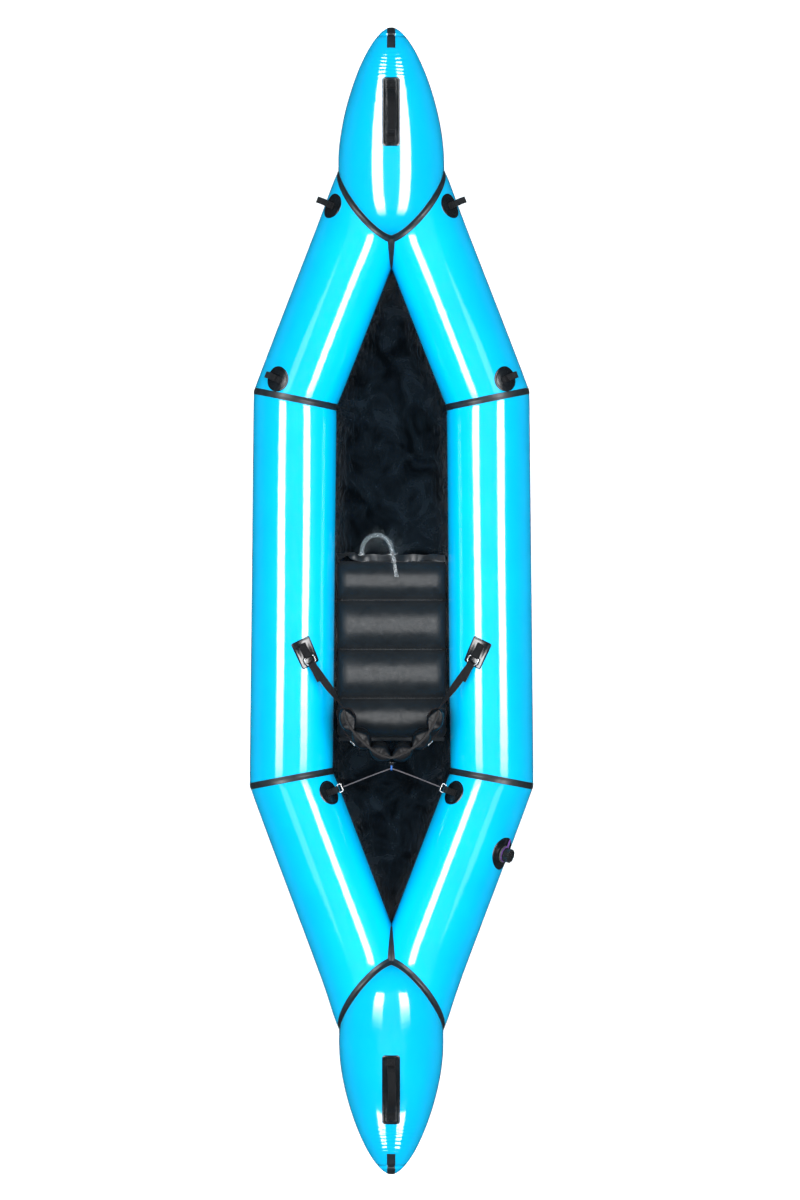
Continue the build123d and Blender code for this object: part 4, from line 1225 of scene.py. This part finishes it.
def make_backrest():
    def place(a, z, off):
        return on_back(a / BACK_R, z, off)

    def edge_of(a):
        return back_low(a / BACK_R), 0.2895

    marks = list(np.linspace(-pi / 2, pi / 2, 7) * BACK_R)
    obj, points, *_ = pillow("backrest_pad", place, marks, edge_of, 0.0235, 18, 40, "backrest", "backrest",
                             "backrest_cushion", 0.03, 0.010)
    settle(obj, points)
    # welded lines between the chambers
    for k, a in enumerate(marks[1:-1]):
        turn = a / BACK_R
        z = np.linspace(back_low(turn) + 0.004, 0.287, 50)
        ribbon(f"backrest_weld_{k}", on_back(turn + 0 * z, z), unit(on_back(turn + 0.01, 0.2) - on_back(turn, 0.2)),
               0.006, 0.0012, "backrest", "backrest")
    # the binding folded over the top edge
    turn = np.linspace(-pi / 2, pi / 2, 150)
    line = on_back(turn, 0.2935 + 0.0007 * np.cos(12 * turn), 0.0010 * np.sin(6 * turn))
    fold = np.linspace(-0.5 * pi, 1.5 * pi, 17)[:-1]
    out = unit(on_back(turn, 0.2, 0.01) - on_back(turn, 0.2))
    wide = 0.0045 + 0.0003 * np.sin(turn * 70)
    grid = (line[:, None] + out[:, None] * (np.cos(fold)[None, :] * wide[:, None])[..., None]
            + vec(0, 0, 1) * (np.sin(fold)[None, :] * 0.0062)[..., None])
    rows, cols = grid.shape[:2]
    points = grid.reshape(-1, 3)
    caps = [list(range(cols)), [(rows - 1) * cols + c for c in range(cols)][::-1]]
    faces = grid_faces(rows, cols, wrap_cols=True) + caps
    length = turn * BACK_R
    uv = np.stack([np.repeat(length, cols), np.tile(fold * 0.005, rows)], -1)
    first = points[faces[cols * 75 + 4][:3]]
    if np.cross(first[1] - first[0], first[2] - first[0])[2] < 0:
        faces = [f[::-1] for f in faces]
    obj = add_mesh("backrest_top_binding", points, faces, "binding", "backrest", uv)
    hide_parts("backrest_binding")
    # the straps' ends wrap round the wings and lie on their outside up to the adjusters
    for name, side in SIDES.items():
        turn = np.linspace(radians(38), radians(89), 30) * side
        outer = on_back(turn, 0.2585, 0.0252)
        tip = np.array([BACK_X + 0.0035, BACK_R * side + 0.016 * side, 0.258]), np.array(
            [BACK_X + 0.0050, BACK_R * side, 0.258]), np.array([BACK_X + 0.0035, BACK_R * side - 0.016 * side, 0.258])
        inner = on_back(np.linspace(radians(87), radians(74), 8) * side, 0.258, -0.0250)
        line = rounded(np.vstack([outer, *tip, inner]), 100, 2)
        ribbon(f"{name}_wing_strap", line, vec(0, 0, 1), 0.0215, 0.0016, "strap", "backrest",
               edge="strap_edge")


def make_buckles():
    """Wire adjusters with a middle bar, where the straps lie on the wings."""
    points, faces = [], []
    for side in (1, -1):
        turn = radians(49) * side
        centre = on_back(np.array([turn]), 0.2585, 0.0275)[0]
        out = unit(on_back(np.array([turn]), 0.2, 0.01)[0] - on_back(np.array([turn]), 0.2)[0])
        ahead = unit(np.cross(vec(0, 0, 1), out))
        around = np.linspace(0, 2 * pi, 49)
        square = [np.sign(wave) * np.abs(wave) ** 0.35 for wave in (np.cos(around), np.sin(around))]
        loops = [centre + ahead * (square[0] * 0.0105)[:, None] + vec(0, 0, 1) * (square[1] * 0.0150)[:, None]]
        loops.append(centre + vec(0, 0, 1) * np.linspace(-0.015, 0.015, 9)[:, None] + out * 0.0008)
        for line in loops:
            part = tube_along("buckle", line, 0.0016, "steel", "backrest", sides=10)
            start = len(points)
            points += [v.co[:] for v in part.data.vertices]
            faces += [[start + v for v in p.vertices] for p in part.data.polygons]
            bpy.data.objects.remove(part)
    obj = add_mesh("wing_buckles", points, faces, "steel", "backrest")
    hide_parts("strap_buckles")


make_seat()
make_backrest()

# ---------------------------------------------------------------- floor


def make_floor():
    reach = 0.540

    def half_at(x):
        bow_tip = BOW.at(reach, 0, 0)[0]
        stern_tip = STERN.at(reach, 0, 0)[0]
        edge = 0.0295
        xs = [stern_tip, -0.577, 0.6485, bow_tip]
        ys = [STERN.half * (1 - reach / STERN.converge) + edge, STERN.half + edge, BOW.half + edge,
              BOW.half * (1 - reach / BOW.converge) + edge]
        return np.interp(x, xs, ys)

    drop = R + 0.0012
    knee_b = 0.6485 + drop * tan(RISE / 2)
    knee_s = -0.577 - drop * tan(RISE / 2)
    x = np.linspace(-1.130, 1.200, 520)
    z = HULL_Z - drop + tan(RISE) * (np.maximum(x - knee_b, 0) + np.maximum(knee_s - x, 0))
    v = np.linspace(-1, 1, 110)
    xx = x[:, None] + 0 * v[None, :]
    yy = half_at(x)[:, None] * v[None, :]
    r = np.random.default_rng(41)
    wrinkle = 0
    for _ in range(26):
        angle, wave = r.normal(0, 0.5) + pi / 2 * (r.random() < 0.35), r.uniform(0.05, 0.16)
        wrinkle = wrinkle + wave * np.sin((xx * cos(angle) + yy * sin(angle)) * 2 * pi / wave + r.uniform(0, 6.3))
    for _ in range(14):
        cx, cy, angle, sharp = r.uniform(-1.1, 1.15), r.uniform(-0.2, 0.2), r.uniform(0, pi), r.uniform(0.006, 0.012)
        along = (xx - cx) * cos(angle) + (yy - cy) * sin(angle)
        off = -(xx - cx) * sin(angle) + (yy - cy) * cos(angle) + 0.02 * np.sin(along * 18)
        wrinkle = wrinkle + 1.6 * np.exp(-((off / sharp) ** 2)) * np.exp(-((along / 0.12) ** 2))
    inside = np.clip((1 - np.abs(v)) * half_at(x)[:, None] / 0.10, 0, 1)
    height = 0.0010 * wrinkle / 1.4 * inside
    top = np.stack([xx, yy, z[:, None] + np.clip(height, -0.0011, 0.0032)], -1)
    bottom = np.stack([xx, yy, z[:, None] - 0.0020 + 0 * xx], -1)
    rows, cols = top.shape[:2]
    points = np.vstack([top.reshape(-1, 3), bottom.reshape(-1, 3)])
    faces = grid_faces(rows, cols)
    under = [[c + rows * cols for c in f[::-1]] for f in faces]
    rim = []
    ring = ([c for c in range(cols)] + [rw * cols + cols - 1 for rw in range(1, rows)]
            + [(rows - 1) * cols + c for c in range(cols - 2, -1, -1)] + [rw * cols for rw in range(rows - 2, 0, -1)])
    for a, b in zip(ring, ring[1:] + ring[:1]):
        rim.append([a, a + rows * cols, b + rows * cols, b])
    obj = add_mesh("floor_panel", points, faces + under + rim, "floor", "hull")
    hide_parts("floor_sheet")


make_floor()

# ---------------------------------------------------------------- cords


def nurbs(name, route):
    """A smooth curve through its control points, and the points of its own line."""
    curve = bpy.data.curves.new(name, "CURVE")
    curve.dimensions = "3D"
    spline = curve.splines.new("NURBS")
    spline.points.add(len(route) - 1)
    for point, place in zip(spline.points, route):
        point.co = (*place, 1)
    spline.order_u, spline.use_endpoint_u, spline.resolution_u = 3, True, 24
    obj = bpy.data.objects.new(name, curve)
    bpy.context.scene.collection.objects.link(obj)
    bpy.context.view_layer.update()
    data = bpy.data.meshes.new_from_object(obj.evaluated_get(bpy.context.evaluated_depsgraph_get()))
    line = np.array([v.co for v in data.vertices])
    bpy.data.meshes.remove(data)
    bpy.data.objects.remove(obj)
    return line


def tube_along(name, line, radius, material, body, inner=None, sides=20, bulge=0.0):
    line = np.asarray(line, float)
    along = unit(np.gradient(line, axis=0))
    side = unit(np.cross(along[0], vec(0.3, 0.2, 1)))
    frames_ = []
    for t in along:
        side = unit(side - t * (side @ t))
        frames_.append(side)
    side = np.array(frames_)
    up = np.cross(along, side)
    turn = np.linspace(0, 2 * pi, sides, endpoint=False)
    length = np.r_[0, np.cumsum(np.linalg.norm(np.diff(line, axis=0), axis=1))]
    ring = side[:, None] * np.cos(turn)[None, :, None] + up[:, None] * np.sin(turn)[None, :, None]
    grid = line[:, None] + ring * radius
    rows, cols = grid.shape[:2]
    points = grid.reshape(-1, 3)
    faces = [f[::-1] for f in grid_faces(rows, cols, wrap_cols=True)]
    uv = np.stack([np.repeat(length, cols), np.tile(turn * radius, rows)], -1)
    if inner:
        hole = (line[:, None] + ring * inner).reshape(-1, 3)
        n = len(points)
        faces += [[c + n for c in f[::-1]] for f in faces]
        last = (rows - 1) * cols
        for c in range(cols):
            d = (c + 1) % cols
            faces.append([c, c + n, d + n, d])
            faces.append([last + d, last + d + n, last + c + n, last + c])
        points, uv = np.vstack([points, hole]), np.vstack([uv, uv])
    else:
        faces += [list(range(cols)), [(rows - 1) * cols + c for c in range(cols)][::-1]]
    probe = points[faces[0]]
    if np.cross(probe[1] - probe[0], probe[2] - probe[0]) @ (probe.mean(0) - line[0]) < 0:
        faces = [f[::-1] for f in faces]
    return add_mesh(name, points, faces, material, body, uv)


make_buckles()

HOSE = [(147, 98, 58), (168, 97, 60), (190, 90, 66), (206, 74, 75), (213, 52, 85), (208, 29, 92), (192, 10, 96),
        (171, 0, 98), (152, -3, 98)]
line = nurbs("hose_line", [tuple(c / 1000 for c in p) for p in HOSE])
hose = tube_along("clear_hose", line, 0.008, "hose", "hull", inner=0.0066, sides=28)
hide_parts("seat_hose")

hook_end, turn_at = vec(-0.59088, 0.15302, 0.24598), vec(-0.531, 0, 0.268)
for name, side in SIDES.items():
    route = [hook_end * vec(1, side, 1), turn_at + vec(0, 0.009 * side, 0), turn_at]
    line = nurbs("bungee_line", [tuple(p) for p in route])
    rope = tube_along(f"{name}_bungee", line, 0.002, "bungee", None, sides=14)
    if side > 0:
        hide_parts("bungee_cord")
    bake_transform(rope)

# ---------------------------------------------------------------- main valve's patch


def make_valve_patch():
    seat = on_tube(STERN, -1, 0.216, radians(60))
    patch = round_patch("valve_disc", seat, 0.0525, 0.0015, 0.0004, "patch", "hull", hole=0.0205,
                        ribs=0.0009)
    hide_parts("valve_patch")


make_valve_patch()


def repaint(pattern, material):
    for node, obj in frame["nodes"].items():
        if pattern in node:
            for place in obj.material_slots:
                place.link = "OBJECT"
                place.material = M[material]


for pattern, material in (
    ("strap_ring", "steel"), ("bungee_hook", "steel"), ("valve_cap", "plastic"),
    ("valve_body", "rim"), ("valve_tether", "tether"), ("valve_diaphragm", "rubber"), ("backrest_valve", "plastic"),
    ("cord_loop", "blue_cord"), ("hose_inlet", "fitting"), ("mouthpiece", "fitting"),
):
    repaint(pattern, material)

# ---------------------------------------------------------------- camera, light and floor

camera_data = bpy.data.cameras.new("camera")
camera_data.lens = 49.84
camera = bpy.data.objects.new("camera", camera_data)
camera.location = (0, -0.027, 5.5)
camera.rotation_euler = (0, 0, -pi / 2)
bpy.context.scene.collection.objects.link(camera)
bpy.context.scene.camera = camera
bpy.context.scene.view_settings.view_transform = "Standard"


def area(name, place, target, size, power, color=(1, 1, 1)):
    light = bpy.data.lights.new(name, "AREA")
    light.shape, light.size, light.size_y = "RECTANGLE", size[0], size[1]
    light.energy, light.color = power, color
    obj = bpy.data.objects.new(name, light)
    obj.location = place
    aim = Vector(target) - Vector(place)
    obj.rotation_euler = aim.to_track_quat("-Z", "Y").to_euler()
    bpy.context.scene.collection.objects.link(obj)
    return obj


def group(name, pieces, leave_out=False):
    """A collection of receivers for a light, or of pieces that it leaves out."""
    collection = bpy.data.collections.new(name)
    for piece in pieces:
        collection.objects.link(piece)
    if leave_out:
        for item in collection.collection_objects:
            item.light_linking.link_state = "EXCLUDE"
    return collection


def soft_strip(name, y, stretches, receivers, width=1.45, height=3.8):
    """A long softbox over the kayak, in stretches (from x, to x, radiance), seen only as a reflection."""
    for k, (x0, x1, radiance) in enumerate(stretches):
        size = (x1 - x0, width)
        light = area(f"{name}_{k}", ((x0 + x1) / 2, y, height), ((x0 + x1) / 2, 0.25 * y / abs(y), 0.25), size,
                     radiance * pi * size[0] * size[1])
        light.visible_diffuse = False
        light.light_linking.receiver_collection = receivers


pieces = bpy.data.objects
# the strips below are each linked to single pieces, to place the highlights on them
skins = {name: pieces[name] for name in (
    "port_side_skin", "starboard_side_skin", "bow_port_skin", "bow_starboard_skin", "stern_port_skin",
    "stern_starboard_skin", "bow_cone_skin", "stern_cone_skin")}
ends_only = [skins[k] for k in skins if "side" not in k]
not_ends = group("not_the_ends", ends_only + [bpy.data.objects["floor_panel"], bpy.data.objects["seat_pad"]], True)
fade = [(0.2, 0.8), (0.4, 0.6), (0.6, 0.42), (0.8, 0.26), (1.0, 0.13), (1.2, 0.05)]
for side in (1, -1):
    port = "port" if side > 0 else "starboard"
    bright = 15
    soft_strip(f"long_{port}", side * 2.45, [(-0.45, 1.5, bright)] + [
        (-0.45 - d, -0.45 - d + 0.2, bright * f) for d, f in fade], not_ends)
    one = group(f"bow_{port}_only", [skins[f"bow_{port}_skin"]])
    soft_strip(f"bow_{port}", -side * 1.9, [(-2.2, -1.6, 7), (-1.6, 0.3, bright)], one, 1.3)
    soft_strip(f"bow_{port}_faint", side * 2.3, [(-0.2, 0.9, 1.3)], one, 1.1)
    one = group(f"stern_{port}_only", [skins[f"stern_{port}_skin"]])
    soft_strip(f"stern_{port}", -side * 1.9, [(-0.3, 1.7, bright), (1.7, 2.3, 7)], one, 1.3)
    soft_strip(f"stern_{port}_faint", side * 2.3, [(-0.9, 0.2, 1.0)], one, 1.1)
    one = group(f"bow_cone_{port}", [skins["bow_cone_skin"], pieces["bow_handle_base"]])
    soft_strip(f"bow_nose_{port}", side * 2.0, [(-1.7, 4.8, bright)] + [
        (-1.7 - 2 * d, -1.3 - 2 * d, bright * f) for d, f in fade], one, 1.6)
    one = group(f"stern_cone_{port}", [skins["stern_cone_skin"], pieces["stern_handle_base"]])
    soft_strip(f"stern_nose_{port}", side * 2.0, [(-5.8, -3.8, bright), (0.4, 1.6, bright)] + [
        (0.4 - d, 0.6 - d, bright * f) for d, f in fade], one, 1.5)

    # the inner flanks get some light from across the cockpit
    flank = area(f"{port}_flank", (0, -side * 3.2, 3.0), (0, side * 0.3, 0.2), (3.4, 1.6), 120)
    flank.visible_glossy = flank.visible_camera = False
    flank.light_linking.receiver_collection = group(f"{port}_flank_only", [
        skins[f"{port}_side_skin"], skins[f"bow_{port}_skin"], skins[f"stern_{port}_skin"]])

# wide soft light from above for the fabrics' own colours, and a soft sheen for the seat alone
fill = area("fill", (0, 0, 5.8), (0, 0, 0), (7, 6), 765)
fill.visible_glossy = False
fill.visible_camera = False
sheen = area("sheen", (0.15, 0, 7.2), (0.1, 0, 0), (0.7, 6.5), 270)
sheen.visible_diffuse = False
sheen.visible_camera = False
sheen.light_linking.receiver_collection = group("padding", [bpy.data.objects["seat_pad"]])

world = bpy.data.worlds.new("studio")
world.use_nodes = True
nodes, links = world.node_tree.nodes, world.node_tree.links
back = nodes["Background"]
back.inputs["Color"].default_value = (0.92, 0.96, 1.0, 1)
ray = nodes.new("ShaderNodeLightPath")
strength = nodes.new("ShaderNodeMapRange")
strength.inputs["To Min"].default_value, strength.inputs["To Max"].default_value = 0.30, 0.9
links.new(ray.outputs["Is Camera Ray"], strength.inputs["Value"])
dim = nodes.new("ShaderNodeMath")
dim.operation = "MULTIPLY_ADD"
links.new(ray.outputs["Is Glossy Ray"], dim.inputs[0])
dim.inputs[1].default_value = -0.27
links.new(strength.outputs["Result"], dim.inputs[2])
links.new(dim.outputs[0], back.inputs["Strength"])
bpy.context.scene.world = world

plain = Nodes("studio_floor")
paper = plain.finish(plain.mix(plain.ramp(plain.noise(3, 2), 0, 1), (0.86, 0.86, 0.86), (0.9, 0.9, 0.9)), 0.9,
                     plain.bump(plain.noise(60), 0.05, 0.001))
data = bpy.data.meshes.new("studio_floor")
data.from_pydata([(-14, -14, -0.0005), (14, -14, -0.0005), (14, 14, -0.0005), (-14, 14, -0.0005)], [], [(0, 1, 2, 3)])
data.materials.append(paper)
ground = bpy.data.objects.new("studio_floor", data)
bpy.context.scene.collection.objects.link(ground)
ground.visible_glossy = False
even = bpy.data.lights.new("floor_light", "SUN")
even.energy, even.angle = 2.2, radians(70)
even_lamp = bpy.data.objects.new("floor_light", even)
even_lamp.location = (0, 0, 6)
bpy.context.scene.collection.objects.link(even_lamp)
even_lamp.light_linking.receiver_collection = group("studio_floor_only", [ground])
